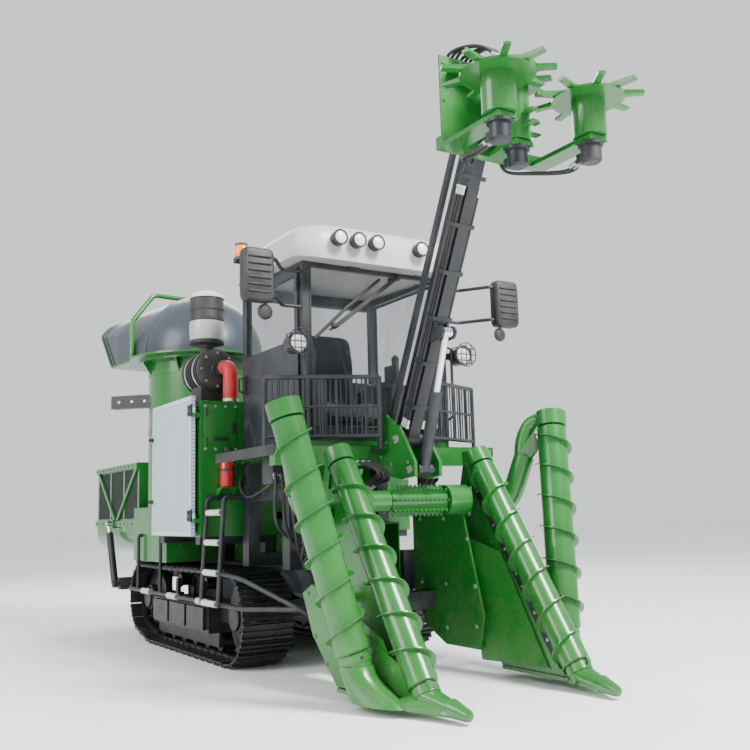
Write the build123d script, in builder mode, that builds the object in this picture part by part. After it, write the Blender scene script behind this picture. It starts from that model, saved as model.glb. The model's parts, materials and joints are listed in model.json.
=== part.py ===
"""Sugarcane harvester on crawler tracks, in millimetres. +Z is up and the front faces -Y."""
import math
import os

from build123d import *

os.makedirs("parts", exist_ok=True)

SIDES = {"right": -1, "left": 1}

# Fits and wall thicknesses
SEAT = 0.3        # gap where one piece rests on another
PIN_GAP = 0.3     # radial play of pins and shafts
RUN = 6           # gap between a turning piece and its housing
SHEET = 12        # folded sheet walls

# Crawler tracks: wheel centres and the radius of the shoe plates round them
LUG = 22
PLATE = 40
TRACK_IN, TRACK_OUT = 460, 880
SIDE_RAIL_X = TRACK_OUT + 70
TRACK_BEAM_X = (TRACK_IN + 40, TRACK_OUT - 20)
IDLER_Y, IDLER_R = -285, 350
SPROCKET_Y, SPROCKET_Z, SPROCKET_R = 1875, 400, 310
END_ROLLER_Y, END_ROLLER_R = 1600, 110
SHOE_PITCH = 150
LUG_THICK = 16
TRACK_WHEELS = (
    (IDLER_Y, LUG + IDLER_R, IDLER_R),
    (END_ROLLER_Y, LUG + END_ROLLER_R, END_ROLLER_R),
    (SPROCKET_Y, SPROCKET_Z, SPROCKET_R),
)
WHEEL_IN, WHEEL_OUT = 610, 730
ROLLER_R = 70
ROLLER_Z = LUG + PLATE + ROLLER_R + SEAT
ROLLER_COUNT = 6
CARRIER_Z = 590

# Main frame
RAIL_IN, RAIL_OUT = 330, 430
RAIL_Z = (560, 760)
RAIL_Y = (-1000, 3390)
TUBE_Z = (300, 440)
TUBE_YS = (200, 1400)
UPRIGHT_X = (560, 660)
UPRIGHT_YS = (-940, -200)
DECK_Z = (1580, 1640)
DECK_Y = (-1380, -90)
DECK_X = 950
BEARER_X = (340, 420)
BEARER_TOP = 1190

# Crop intake
WALL_IN, WALL_OUT = 425, 445
DUCT_X = RAIL_IN - SEAT
CUTTER_X = 212
CUTTER_Y = -1190
CUTTER_SWEEP = 200
ROLLER_AXIS = (-1685, 1235)
KNOCK_R, KNOCK_TIP, KNOCK_X = 75, 112, 235

# Crop dividers and their scroll augers (x is mirrored for the other side)
TOE = (558, -2985, 50)
TOE_R = 26
INNER_LOW, INNER_TOP = (594, -2599, 159), (594, -1693, 1479)
OUTER_LOW, OUTER_TOP = (850, -2230, 330), (1110, -1910, 1759)
FLIGHT_HIGH, FLIGHT_PITCH, FLIGHT_THICK = 47, 235, 8
CAP_LONG = 120
SHAFT_R = 25
DIVIDER_PIVOT = (-1350, 1000)
DIVIDER_PIN_R = 30
DIVIDER_X = (586, 602)

# Topper boom, a parallel linkage
BOOM_FOOT, BOOM_TOP = (-1629, 1673), (-2595, 3577)
LINK_SHIFT = (196, 99)
ARM_WIDE, ARM_DEEP = 90, 100
LINK_WIDE, LINK_DEEP = 30, 44
BOOM_PIN_R, LINK_PIN_R = 25, 20
JACK_FOOT, JACK_EYE = (-1800, 1450), (-2129, 2372)
JACK_R, JACK_ROD_R = 42, 24
CHEEK_X = (75, 95)
BASE_X = (92, 117)
TOPPER_Y, TOPPER_Z = -2690, 3400
DRUM_X, DRUM_Y = 360, -3235
DRUM_R, DISC_R, FINGER_R = 105, 226, 345
DRUM_TOP = 3680
ROTOR_Y = -2960
ROTOR_TOP = 3800

# Cab
CAB_X = 640
CAB_Y = (-1230, -110)
FLOOR_Z = 1690
PILLAR = 60
SILL_Z, HEAD_Z, ROOF_Z = 1790, 3000, 3060
ROOF_TOP = 3330
ROOF_X = 800
ROOF_Y = (-1440, -60)
GLASS = 8
DOOR_GAP = 5
DOOR_SILL = 2450
DOOR_RIM = 55
DOOR_AXIS = (-CAB_X - 20, CAB_Y[0] + PILLAR + DOOR_GAP)

# Engine bay
BAY_X = 1000
BAY_Y = (-85, 950)
BAY_Z = (1000, 2100)
SCREEN_X = (-1062, -1030)
SCREEN_Y = (-41, 945)
SCREEN_Z = (1010, 2140)
FILTER = (-750, 2406)
FILTER_R = 185

# Trash extractor
TOWER = (-400, 1475)
TOWER_R = 510
TOWER_Z = (1262.3, 2680)
FAN_R = TOWER_R - SHEET - 28
RING_R = TOWER_R + 100
RING_THICK = 30
HOOD_R = TOWER_R + 90
HOOD_TURN = 98
HOOD_UNDER, HOOD_OVER = 800, 1350
HOOD_HIGH = HOOD_R + 40
ARCH_R = 24
HOOD_PLATE = 20
HOOD_WALL = 10
TAIL_TURN = 135

# Tipping bin and its pair of lift cylinders
BIN_X = 860
BIN_Y = (2000, 3540)
BIN_Z = (800, 1720)
BIN_WALL = 16
BIN_ROUND = 220
BIN_RAIL_Z = 1110
BIN_BAYS = 3
BIN_POST = 50
MESH = 6
BIN_HINGE = (3330, 700)
BIN_PIN_R = 20
LIFT_X = 930
LIFT_FOOT, LIFT_EYE = (2560, 500), (2830, 1110)
LIFT_R, LIFT_ROD_R = 36, 20


def keep(piece, label):
    """Name one finished piece and write its file."""
    piece.part.label = label
    export_step(piece.part, f"parts/{label}.step")


def span(a, b, side=1):
    """Sorted limits of a pair mirrored to one side."""
    return tuple(sorted((side * a, side * b)))


def block(x, y, z, mode=Mode.ADD):
    """Box between three pairs of limits."""
    with Locations(((x[0] + x[1]) / 2, (y[0] + y[1]) / 2, (z[0] + z[1]) / 2)):
        Box(x[1] - x[0], y[1] - y[0], z[1] - z[0], mode=mode)


def side_plate(outline, x, mode=Mode.ADD):
    """Plate with a (y, z) outline between two x limits."""
    with BuildSketch(Plane.YZ.offset(x[0])) as profile:
        with BuildLine():
            Polyline(*outline, close=True)
        make_face()
    extrude(profile.sketch, amount=x[1] - x[0], mode=mode)


def flat_plate(outline, z, mode=Mode.ADD):
    """Plate with an (x, y) outline between two z limits."""
    with BuildSketch(Plane.XY.offset(z[0])) as profile:
        with BuildLine():
            Polyline(*outline, close=True)
        make_face()
    extrude(profile.sketch, amount=z[1] - z[0], mode=mode)


def bar_x(yz, r, x, mode=Mode.ADD):
    """Round bar along X."""
    with BuildSketch(Plane.YZ.offset(x[0])) as profile:
        with Locations(yz):
            Circle(r)
    extrude(profile.sketch, amount=x[1] - x[0], mode=mode)


def bar_y(xz, r, y, mode=Mode.ADD):
    """Round bar along Y."""
    with BuildSketch(Plane.XZ.offset(-y[1])) as profile:
        with Locations(xz):
            Circle(r)
    extrude(profile.sketch, amount=y[1] - y[0], mode=mode)


def bar_z(xy, r, z, mode=Mode.ADD):
    """Round bar along Z."""
    with BuildSketch(Plane.XY.offset(z[0])) as profile:
        with Locations(xy):
            Circle(r)
    extrude(profile.sketch, amount=z[1] - z[0], mode=mode)


def line_plane(p, q, x_dir=(1, 0, 0)):
    """Plane at p looking along the line to q, and the line's length."""
    run = Vector(*q) - Vector(*p)
    return Plane(origin=p, x_dir=x_dir, z_dir=run), run.length


def beam(p, q, w, d, x_dir=(1, 0, 0), mode=Mode.ADD):
    """Straight bar of rectangular section from p to q."""
    plane, length = line_plane(p, q, x_dir)
    with BuildSketch(plane) as profile:
        Rectangle(w, d)
    extrude(profile.sketch, amount=length, mode=mode)


def round_bar(p, q, r, start=0, stop=None, mode=Mode.ADD):
    """Round bar on the line from p to q between two distances from p."""
    plane, length = line_plane(p, q)
    stop = length if stop is None else stop
    with BuildSketch(plane.offset(start)) as profile:
        Circle(r)
    extrude(profile.sketch, amount=stop - start, mode=mode)


def tube(points, r, bend):
    """Bent round tube through the points."""
    with BuildLine() as path:
        FilletPolyline(*points, radius=bend)
    with BuildSketch(Plane(origin=path.line @ 0, z_dir=path.line % 0)) as profile:
        Circle(r)
    sweep(profile.sketch, path=path.line)


def spoke_z(xy, z, turn):
    """Level plane at xy whose x axis points along an angle."""
    return Plane(origin=(*xy, z), x_dir=(math.cos(math.radians(turn)), math.sin(math.radians(turn)), 0))


def spoke_x(yz, x, turn):
    """Upright plane facing +X at yz whose x axis points along an angle."""
    reach = (0, math.cos(math.radians(turn)), math.sin(math.radians(turn)))
    return Plane(origin=(x, *yz), x_dir=reach, z_dir=(1, 0, 0))


def mirror_x(point, side):
    """Point on one side of the machine."""
    return (side * point[0], point[1], point[2])


def in_plane(yz, x=0):
    """Three-dimensional point of a (y, z) pair."""
    return (x, yz[0], yz[1])


def shifted(yz, by):
    """Sum of two (y, z) pairs."""
    return (yz[0] + by[0], yz[1] + by[1])


# Main frame: two rails, cross tubes, uprights for the deck and bearers for the engine
with BuildPart() as main_frame:
    for side in SIDES.values():
        block(span(RAIL_IN, RAIL_OUT, side), RAIL_Y, RAIL_Z)
        for y in TUBE_YS:
            block(span(340, 420, side), (y - 60, y + 60), (TUBE_Z[1], RAIL_Z[0]))
        for y in UPRIGHT_YS:
            block(span(RAIL_IN, UPRIGHT_X[1], side), (y - 60, y + 60), (RAIL_Z[1], 860))
            block(span(*UPRIGHT_X, side), (y - 60, y + 60), (860, DECK_Z[0] - SEAT))
        block(span(640, UPRIGHT_X[1], side), (UPRIGHT_YS[0], UPRIGHT_YS[1]), (1270, 1350))
        block(span(*BEARER_X, side), (-60, 930), (BAY_Z[0], BEARER_TOP))
        for y in (0, 880):
            block(span(*BEARER_X, side), (y - 50, y + 50), (RAIL_Z[1], BAY_Z[0]))
            block(span(BEARER_X[0], BAY_X - 10, side), (y - 50, y + 50), (940, BAY_Z[0] - SEAT))
        block(span(RAIL_IN, RAIL_OUT, side), (2150, 2250), (RAIL_Z[1], BIN_Z[0] - SEAT))
        block(span(RAIL_IN, 885, side), (LIFT_FOOT[0] - 50, LIFT_FOOT[0] + 50), (440, RAIL_Z[0]))
        bar_x(LIFT_FOOT, BIN_PIN_R, span(880, LIFT_X + 25, side))
    for y in TUBE_YS:
        block((-500 + SEAT, 500 - SEAT), (y - 80, y + 80), TUBE_Z)
    for y in (2330, 3120):
        block((-RAIL_IN, RAIL_IN), (y - 50, y + 50), RAIL_Z)
    bar_x(BIN_HINGE, BIN_PIN_R + PIN_GAP, (-RAIL_OUT, RAIL_OUT), mode=Mode.SUBTRACT)
keep(main_frame, "main_frame")

with BuildPart() as deck:
    block((-DECK_X, DECK_X), DECK_Y, DECK_Z)
    block((-DECK_X, DECK_X), (DECK_Y[0], DECK_Y[0] + 90), (1500, DECK_Z[0]))
    block((-CAB_X, CAB_X), CAB_Y, (DECK_Z[1] - 1, FLOOR_Z))
    for side in SIDES.values():
        block(span(690, DECK_X + 1, side), (-300, DECK_Y[1] + 1), (DECK_Z[0] - 1, DECK_Z[1] + 1),
              mode=Mode.SUBTRACT)
keep(deck, "deck")

with BuildPart() as tow_eye:
    block((-20, 20), (3170 + SEAT, 3470), (580, 670))
    bar_x((3420, 625), 25, (-20, 20), mode=Mode.SUBTRACT)
keep(tow_eye, "tow_eye")

# Crawler tracks: one loop with lugs on each side, a beam inside it, and plain wheels
def loop_hull(grow):
    """Outline round the track's wheels, grown from the shoe plates' outer face."""
    with BuildSketch() as outline:
        for y, z, r in TRACK_WHEELS:
            with Locations((y, z)):
                Circle(r + grow)
        make_hull()
    return outline.sketch


rim = loop_hull(0).face().outer_wire()
shoe_count = round(rim.length / SHOE_PITCH)
for name, side in SIDES.items():
    with BuildPart() as track:
        across = span(TRACK_IN, TRACK_OUT, side)
        with BuildSketch(Plane.YZ.offset(across[0])):
            add(loop_hull(0))
            for shoe in range(shoe_count):
                along = rim.length * shoe / shoe_count
                at = rim.position_at(along, position_mode=PositionMode.LENGTH)
                to = rim.tangent_at(along, position_mode=PositionMode.LENGTH)
                with Locations(Location((at.X, at.Y), math.degrees(math.atan2(to.Y, to.X)))):
                    Rectangle(LUG_THICK, 2 * LUG)
            add(loop_hull(-PLATE), mode=Mode.SUBTRACT)
        extrude(amount=across[1] - across[0])
    keep(track, f"track_{name}")

CARRIER_YS = (520, 1150)
with BuildPart() as track_frames:
    beam_z = (ROLLER_Z + ROLLER_R + 20, 440)
    for side in SIDES.values():
        block(span(*TRACK_BEAM_X, side), (100, 1480), beam_z)
        for y in (150, 590, 1030):
            block(span(TRACK_BEAM_X[1] - 1, TRACK_OUT + 10, side), (y, y + 390),
                  (beam_z[0] + 25, beam_z[1] - 15))
        for near, far in ((WHEEL_IN - 30, WHEEL_IN - SEAT), (WHEEL_OUT + SEAT, WHEEL_OUT + 30)):
            cheek = span(near, far, side)
            block(cheek, (IDLER_Y - 60, 150), (LUG + IDLER_R - 60, LUG + IDLER_R + 60))
            block(cheek, (1450, SPROCKET_Y + 60), (SPROCKET_Z - 80, SPROCKET_Z + 60))
            block(cheek, (120, END_ROLLER_Y + 40), (ROLLER_Z - 30, beam_z[0] + 1))
            for y in CARRIER_YS:
                block(cheek, (y - 30, y + 30), (beam_z[1] - 1, CARRIER_Z + 20))
keep(track_frames, "track_frames")

with BuildPart() as track_wheels:
    for side in SIDES.values():
        wide = span(WHEEL_IN, WHEEL_OUT, side)
        bar_x((IDLER_Y, LUG + IDLER_R), IDLER_R - PLATE - SEAT, wide)
        bar_x((SPROCKET_Y, SPROCKET_Z), SPROCKET_R - PLATE - SEAT, wide)
        for i in range(ROLLER_COUNT):
            y = 180 + i * (END_ROLLER_Y - 180) / (ROLLER_COUNT - 1)
            bar_x((y, ROLLER_Z), ROLLER_R, wide)
        for y in CARRIER_YS:
            bar_x((y, CARRIER_Z), 60, wide)
keep(track_wheels, "track_wheels")

# Crop path: duct between the rails, chopper box behind it, walls of the intake
with BuildPart() as feed_duct:
    outline = ((-950, 420), (984.7, 800), (984.7, 1180), (-950, 1080))
    side_plate(outline, (-DUCT_X, DUCT_X))
    hollow = ((-1000, 422), (1000, 815), (1000, 1168), (-1000, 1065))
    side_plate(hollow, (-DUCT_X + SHEET, DUCT_X - SHEET), mode=Mode.SUBTRACT)
keep(feed_duct, "feed_duct")

with BuildPart() as chopper_box:
    outer_z = (RAIL_Z[1] + SEAT, TOWER_Z[0] - SEAT)
    block((-915, 915), (985, 1975), outer_z)
    block((-915 + SHEET, 915 - SHEET), (985 + SHEET, 1975 - SHEET), (outer_z[0] + SHEET, outer_z[1] - SHEET),
          mode=Mode.SUBTRACT)
    block((-300, 300), (980, 1000), (830, 1160), mode=Mode.SUBTRACT)
    block((-450, 450), (1960, 1980), (1010, 1200), mode=Mode.SUBTRACT)
    bar_z(TOWER, TOWER_R - 30, (outer_z[1] - 20, outer_z[1] + 1), mode=Mode.SUBTRACT)
keep(chopper_box, "chopper_box")

with BuildPart() as intake_walls:
    wall = ((-1000.3, 560), (-1150, 300), (-1400, 180), (-1800, 180), (-1860, 420), (-1660, 1130),
            (-1760, 1180), (-1760, 1330), (-1600, 1330), (-1350, 1180), (-1000.3, 1180))
    for side in SIDES.values():
        side_plate(wall, span(WALL_IN, WALL_OUT, side))
        bar_x(DIVIDER_PIVOT, DIVIDER_PIN_R, span(WALL_OUT - 1, DIVIDER_X[1] + 20, side))
        bar_x(ROLLER_AXIS, 110 if side > 0 else 75, span(KNOCK_X + RUN, WALL_IN + 1, side))
        bar_x(ROLLER_AXIS, 25 + PIN_GAP, span(KNOCK_X, KNOCK_X + 90, side), mode=Mode.SUBTRACT)
keep(intake_walls, "intake_walls")

with BuildPart() as cutter_case:
    block((-WALL_IN + SEAT, WALL_IN - SEAT), (CUTTER_Y - 80, CUTTER_Y + 80), (430, 560))
    for side in SIDES.values():
        bar_z((side * CUTTER_X, CUTTER_Y), 70, (150, 431))
        bar_z((side * CUTTER_X, CUTTER_Y), 25 + PIN_GAP, (140, 260), mode=Mode.SUBTRACT)
keep(cutter_case, "cutter_case")

for name, side in SIDES.items():
    with BuildPart() as cutter_disc:
        centre = (side * CUTTER_X, CUTTER_Y)
        bar_z(centre, 150, (100, 118))
        bar_z(centre, 25, (117, 250))
        bar_z(centre, 60, (117, 150 - RUN))
        for turn in range(4):
            with BuildSketch(spoke_z(centre, 92, 45 + 90 * turn)):
                with Locations(((CUTTER_SWEEP + 80) / 2, 0)):
                    Rectangle(CUTTER_SWEEP - 80, 50)
            extrude(amount=8)
    keep(cutter_disc, f"cutter_disc_{name}")

with BuildPart() as knockdown_roller:
    bar_x(ROLLER_AXIS, KNOCK_R, (-KNOCK_X, KNOCK_X))
    bar_x(ROLLER_AXIS, 25, (-KNOCK_X - 80, KNOCK_X + 80))
    for turn in range(8):
        with BuildSketch(spoke_x(ROLLER_AXIS, -KNOCK_X, 45 * turn)):
            with Locations(((KNOCK_R + KNOCK_TIP) / 2 - 3, 0)):
                Rectangle(KNOCK_TIP - KNOCK_R + 6, 10)
        extrude(amount=2 * KNOCK_X)
keep(knockdown_roller, "knockdown_roller")

# Crop dividers with two scroll augers each
# Columns: low end, top end, core radius, cap radius, hand
AUGERS = {"inner": (INNER_LOW, INNER_TOP, 80, 100, 1), "outer": (OUTER_LOW, OUTER_TOP, 93, 116, -1)}
for name, side in SIDES.items():
    with BuildPart() as divider:
        body = ((-1561, 1388), (-2440, 120), (-2700, 60), (-1860, 60), (-1594, 341), (-1450, 620),
                (-1290, 800), (-1290, 1120), (-1450, 1388))
        plate_x = span(*DIVIDER_X, side)
        side_plate(body, plate_x)
        bar_x(DIVIDER_PIVOT, 70, plate_x)
        skid = ((560, -2820), (640, -2820), (810, -2420), (760, -1860), (575, -1860))
        flat_plate([(side * x, y) for x, y in skid], (46, 70))
        for low, top, core, cap, hand in AUGERS.values():
            low_at, top_at = mirror_x(low, side), mirror_x(top, side)
            reach = line_plane(low_at, top_at)[1]
            round_bar(low_at, top_at, cap, reach + RUN, reach + CAP_LONG)
            round_bar(low_at, top_at, core, -110, -RUN)
        nose, _ = line_plane(mirror_x(INNER_LOW, side), mirror_x(INNER_TOP, side))
        with BuildSketch(nose.offset(-60)):
            Circle(AUGERS["inner"][2])
        with BuildSketch(Plane(origin=mirror_x(TOE, side), x_dir=(1, 0, 0), z_dir=(0, 1, 0.3))):
            Circle(TOE_R)
        loft()
        beam(mirror_x((594, -1500, 1340), side), mirror_x((594, -1560, 1560), side), 60, 80)
        beam(mirror_x((594, -1620, 1560), side), mirror_x((594, -1500, 1560), side), 60, 80)
        arm = ((595, -1480, 1150), (880, -1640, 1170), (985, -1730, 1560), (1117, -1890, 1812))
        with BuildLine() as gooseneck:
            FilletPolyline(*[mirror_x(p, side) for p in arm], radius=130)
        with BuildSketch(Plane(origin=gooseneck.line @ 0, x_dir=(0, 0, 1), z_dir=gooseneck.line % 0)):
            RectangleRounded(120, 84, 20)
        sweep(path=gooseneck.line)
        skirt = Plane(origin=mirror_x((610, -2700, 0), side), x_dir=(side * 190, 1050, 0),
                      z_dir=(1050, -side * 190, 0))
        with BuildSketch(skirt):
            with BuildLine():
                Polyline((0, 50), (0, 200), (700, 560), (1080, 700), (1180, 640), (1080, 380), (840, 80),
                         close=True)
            make_face()
        extrude(amount=SHEET, both=True)
        beam(mirror_x((600, -1700, 600), side), mirror_x((810, -1700, 600), side), 60, 60, (0, 0, 1))
        beam(mirror_x((790, -2430, 60), side), mirror_x((837, -2246, 265), side), 80, 80)
        bar_x(DIVIDER_PIVOT, DIVIDER_PIN_R + PIN_GAP, span(DIVIDER_X[0] - 5, DIVIDER_X[1] + 5, side),
              mode=Mode.SUBTRACT)
        for low, top, core, cap, hand in AUGERS.values():
            low_at, top_at = mirror_x(low, side), mirror_x(top, side)
            reach = line_plane(low_at, top_at)[1]
            round_bar(low_at, top_at, SHAFT_R + PIN_GAP, -80, reach + 80, mode=Mode.SUBTRACT)
            round_bar(low_at, top_at, core + FLIGHT_HIGH + RUN, -RUN, reach + RUN, mode=Mode.SUBTRACT)
    keep(divider, f"divider_{name}")

    for auger, (low, top, core, cap, hand) in AUGERS.items():
        axis, reach = line_plane(mirror_x(low, side), mirror_x(top, side))
        with BuildPart() as scroll:
            with BuildSketch(axis):
                Circle(core)
            extrude(amount=reach)
            with BuildSketch(axis.offset(-70)):
                Circle(SHAFT_R)
            extrude(amount=reach + 140)
            start = axis.from_local_coords(Vector(0, 0, 60))
            with BuildLine() as rise:
                Helix(FLIGHT_PITCH, reach - 120, core - 4, center=start, direction=axis.z_dir,
                      lefthand=side * hand < 0)
            foot = rise.line @ 0
            outward = (foot - start).normalized()
            with BuildSketch(Plane(origin=foot, x_dir=outward, z_dir=axis.z_dir.cross(outward))):
                with Locations(((FLIGHT_HIGH + 4) / 2, 0)):
                    Rectangle(FLIGHT_HIGH + 4, FLIGHT_THICK)
            sweep(path=rise.line, is_frenet=True)
        keep(scroll, f"{auger}_auger_{name}")

# Topper boom
LINK_FOOT, LINK_TOP = shifted(BOOM_FOOT, LINK_SHIFT), shifted(BOOM_TOP, LINK_SHIFT)
with BuildPart() as boom_base:
    face_y = DECK_Y[0] - SEAT
    cheek = ((face_y, 1500), (face_y, 1860), (-1500, 1860), (-1690, 1740), (-1860, 1500), (-1860, 1400),
             (-1700, 1384), (-1500, 1420))
    for side in SIDES.values():
        side_plate(cheek, span(*BASE_X, side))
    bar_x(BOOM_FOOT, BOOM_PIN_R, (-BASE_X[1], BASE_X[1]))
    bar_x(LINK_FOOT, LINK_PIN_R, (-BASE_X[1], BASE_X[1]))
    bar_x(JACK_FOOT, LINK_PIN_R, (-BASE_X[1], BASE_X[1]))
keep(boom_base, "boom_base")

with BuildPart() as boom_arm:
    beam(in_plane(BOOM_FOOT), in_plane(BOOM_TOP), ARM_WIDE, ARM_DEEP)
    bar_x(BOOM_FOOT, 58, (-BASE_X[0] + 1, BASE_X[0] - 1))
    bar_x(BOOM_TOP, 50, (-CHEEK_X[0] + 1, CHEEK_X[0] - 1))
    for side in SIDES.values():
        lug = Plane.YZ.offset(min(span(40, 60, side)))
        with BuildSketch(lug):
            with Locations(JACK_EYE):
                Circle(45)
            with BuildLine():
                lug_at = ((40, 20), (-20, -40), (150, -60), (60, 200))
                Polyline(*[shifted(JACK_EYE, p) for p in lug_at], close=True)
            make_face()
        extrude(amount=20)
    bar_x(BOOM_FOOT, BOOM_PIN_R + PIN_GAP, (-CAB_X, CAB_X), mode=Mode.SUBTRACT)
    bar_x(BOOM_TOP, BOOM_PIN_R + PIN_GAP, (-CAB_X, CAB_X), mode=Mode.SUBTRACT)
keep(boom_arm, "boom_arm")

with BuildPart() as boom_links:
    for side in SIDES.values():
        beam(in_plane(LINK_FOOT, side * 42), in_plane(LINK_TOP, side * 42), LINK_WIDE, LINK_DEEP)
    for eye in (LINK_FOOT, LINK_TOP):
        bar_x(eye, 38, (-70, 70))
        bar_x(eye, LINK_PIN_R + PIN_GAP, (-CAB_X, CAB_X), mode=Mode.SUBTRACT)
keep(boom_links, "boom_links")

with BuildPart() as topper_head:
    cheek = (shifted(LINK_TOP, (50, -40)), shifted(LINK_TOP, (50, 50)), (TOPPER_Y, BOOM_TOP[1] + 180),
             (TOPPER_Y, TOPPER_Z + 70), shifted(BOOM_TOP, (20, -70)))
    for side in SIDES.values():
        side_plate(cheek, span(*CHEEK_X, side))
    bar_x(BOOM_TOP, BOOM_PIN_R, (-CHEEK_X[1], CHEEK_X[1]))
    bar_x(LINK_TOP, LINK_PIN_R, (-CHEEK_X[1], CHEEK_X[1]))
    block((-430, 430), (TOPPER_Y - 70, TOPPER_Y), (TOPPER_Z, TOPPER_Z + 80))
    block((-CHEEK_X[1], CHEEK_X[1]), (TOPPER_Y - SHEET, TOPPER_Y), (TOPPER_Z, BOOM_TOP[1] + 180))
    block((-390, -60), (TOPPER_Y - SHEET, TOPPER_Y), (TOPPER_Z, 4050))
    for x, y in ((-DRUM_X, DRUM_Y), (DRUM_X, DRUM_Y), (0, ROTOR_Y)):
        block((x - 70, x + 70), (y - 70, TOPPER_Y), (TOPPER_Z, TOPPER_Z + 30))
        bar_z((x, y), 60, (TOPPER_Z - 110, TOPPER_Z + 1))
        bar_z((x, y), SHAFT_R + PIN_GAP, (TOPPER_Z - 70, TOPPER_Z + 40), mode=Mode.SUBTRACT)
keep(topper_head, "topper_head")


def spinner(centre, r, top, disc_r, finger_r, fingers):
    """Gathering drum on a shaft, with a disc of flat fingers on top."""
    bar_z(centre, SHAFT_R, (TOPPER_Z - 65, TOPPER_Z + 40))
    bar_z(centre, r, (TOPPER_Z + 30 + RUN, top))
    bar_z(centre, disc_r, (top - 1, top + 12))
    bar_z(centre, r * 0.6, (top + 11, top + 60))
    for finger in range(fingers):
        with BuildSketch(spoke_z(centre, top + 11, 360 * finger / fingers)) as flat:
            with Locations(((finger_r + r) / 2, 0)):
                Rectangle(finger_r - r, 46)
        extrude(flat.sketch, amount=17)


for name, side in SIDES.items():
    with BuildPart() as drum:
        spinner((side * DRUM_X, DRUM_Y), DRUM_R, DRUM_TOP, DISC_R, FINGER_R, 9)
    keep(drum, f"gather_drum_{name}")

with BuildPart() as topper_rotor:
    spinner((0, ROTOR_Y), 90, ROTOR_TOP, 165, 240, 7)
    for z in (3510, 3590):
        for turn in range(4):
            with BuildSketch(spoke_z((0, ROTOR_Y), z, 90 * turn)):
                with Locations((130, 0)):
                    Rectangle(110, 50)
            extrude(amount=10)
keep(topper_rotor, "topper_rotor")

JACK_REST = math.dist(JACK_FOOT, JACK_EYE)
with BuildPart() as jack_barrel:
    round_bar(in_plane(JACK_FOOT), in_plane(JACK_EYE), JACK_R, 0, 560)
    bar_x(JACK_FOOT, 40, (-60, 60))
    bar_x(JACK_FOOT, LINK_PIN_R + PIN_GAP, (-CAB_X, CAB_X), mode=Mode.SUBTRACT)
    round_bar(in_plane(JACK_FOOT), in_plane(JACK_EYE), JACK_ROD_R + PIN_GAP, 120, 561, mode=Mode.SUBTRACT)
keep(jack_barrel, "jack_barrel")

with BuildPart() as jack_rod:
    round_bar(in_plane(JACK_FOOT), in_plane(JACK_EYE), JACK_ROD_R, JACK_REST - 560)
    bar_x(JACK_EYE, 36, (-34, 34))
    bar_x(JACK_EYE, 15, (-34, 34), mode=Mode.SUBTRACT)
keep(jack_rod, "jack_rod")

# Cab: floor, pillar frame, roof, glass and a door on the right
with BuildPart() as cab_frame:
    block((-CAB_X, CAB_X), CAB_Y, (FLOOR_Z + SEAT, ROOF_Z))
    inside_x, inside_y = CAB_X - PILLAR, (CAB_Y[0] + PILLAR, CAB_Y[1] - PILLAR)
    block((-inside_x, inside_x), inside_y, (FLOOR_Z, ROOF_Z + 1), mode=Mode.SUBTRACT)
    block((-inside_x, inside_x), (CAB_Y[0] - 1, CAB_Y[0] + PILLAR + 1), (SILL_Z, HEAD_Z), mode=Mode.SUBTRACT)
    block((-inside_x, inside_x), (CAB_Y[1] - PILLAR - 1, CAB_Y[1] + 1), (2300, HEAD_Z), mode=Mode.SUBTRACT)
    block((inside_x - 1, CAB_X + 1), inside_y, (SILL_Z, HEAD_Z), mode=Mode.SUBTRACT)
    block((-CAB_X - 1, -inside_x + 1), inside_y, (FLOOR_Z, HEAD_Z), mode=Mode.SUBTRACT)
    for z in (1860, 2860):
        bar_z(DOOR_AXIS, 12, (z + SEAT, z + 50))
        block((DOOR_AXIS[0], -CAB_X + 1), (DOOR_AXIS[1] - 12, DOOR_AXIS[1] - 6), (z + SEAT, z + 50))
keep(cab_frame, "cab_frame")

with BuildPart() as cab_roof:
    block((-ROOF_X, ROOF_X), ROOF_Y, (ROOF_Z + SEAT, ROOF_TOP))
    fillet(cab_roof.edges().filter_by(Axis.Z), 140)
    fillet(cab_roof.faces().sort_by(Axis.Z)[-1].edges(), 60)
    block((-inside_x, inside_x), inside_y, (ROOF_Z, ROOF_TOP - 40), mode=Mode.SUBTRACT)
keep(cab_roof, "cab_roof")

with BuildPart() as cab_glass:
    pane_x, pane_z = (-inside_x + SEAT, inside_x - SEAT), (SILL_Z + SEAT, HEAD_Z - SEAT)
    block(pane_x, (CAB_Y[0] + 15, CAB_Y[0] + 15 + GLASS), pane_z)
    block(pane_x, (CAB_Y[1] - 35, CAB_Y[1] - 35 + GLASS), (2300 + SEAT, HEAD_Z - SEAT))
    block((CAB_X - 30, CAB_X - 30 + GLASS), (inside_y[0] + SEAT, inside_y[1] - SEAT), pane_z)
keep(cab_glass, "cab_glass")

DOOR_Y = (inside_y[0] + DOOR_GAP, inside_y[1] - DOOR_GAP)
DOOR_Z = (FLOOR_Z + DOOR_GAP, HEAD_Z - DOOR_GAP)
with BuildPart() as door_frame:
    block((-CAB_X - 15, -CAB_X + 25), DOOR_Y, DOOR_Z)
    within = (DOOR_Y[0] + DOOR_RIM, DOOR_Y[1] - DOOR_RIM)
    block((-CAB_X - 20, -CAB_X + 30), within, (DOOR_SILL, DOOR_Z[1] - DOOR_RIM), mode=Mode.SUBTRACT)
    block((-CAB_X - 3, -CAB_X + 30), within, (DOOR_Z[0] + 90, DOOR_SILL - 60), mode=Mode.SUBTRACT)
    for z in (1860, 2860):
        bar_z(DOOR_AXIS, 12 + RUN, (z, z + 56), mode=Mode.SUBTRACT)
        bar_z(DOOR_AXIS, 12, (z - 50, z))
keep(door_frame, "door_frame")

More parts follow.
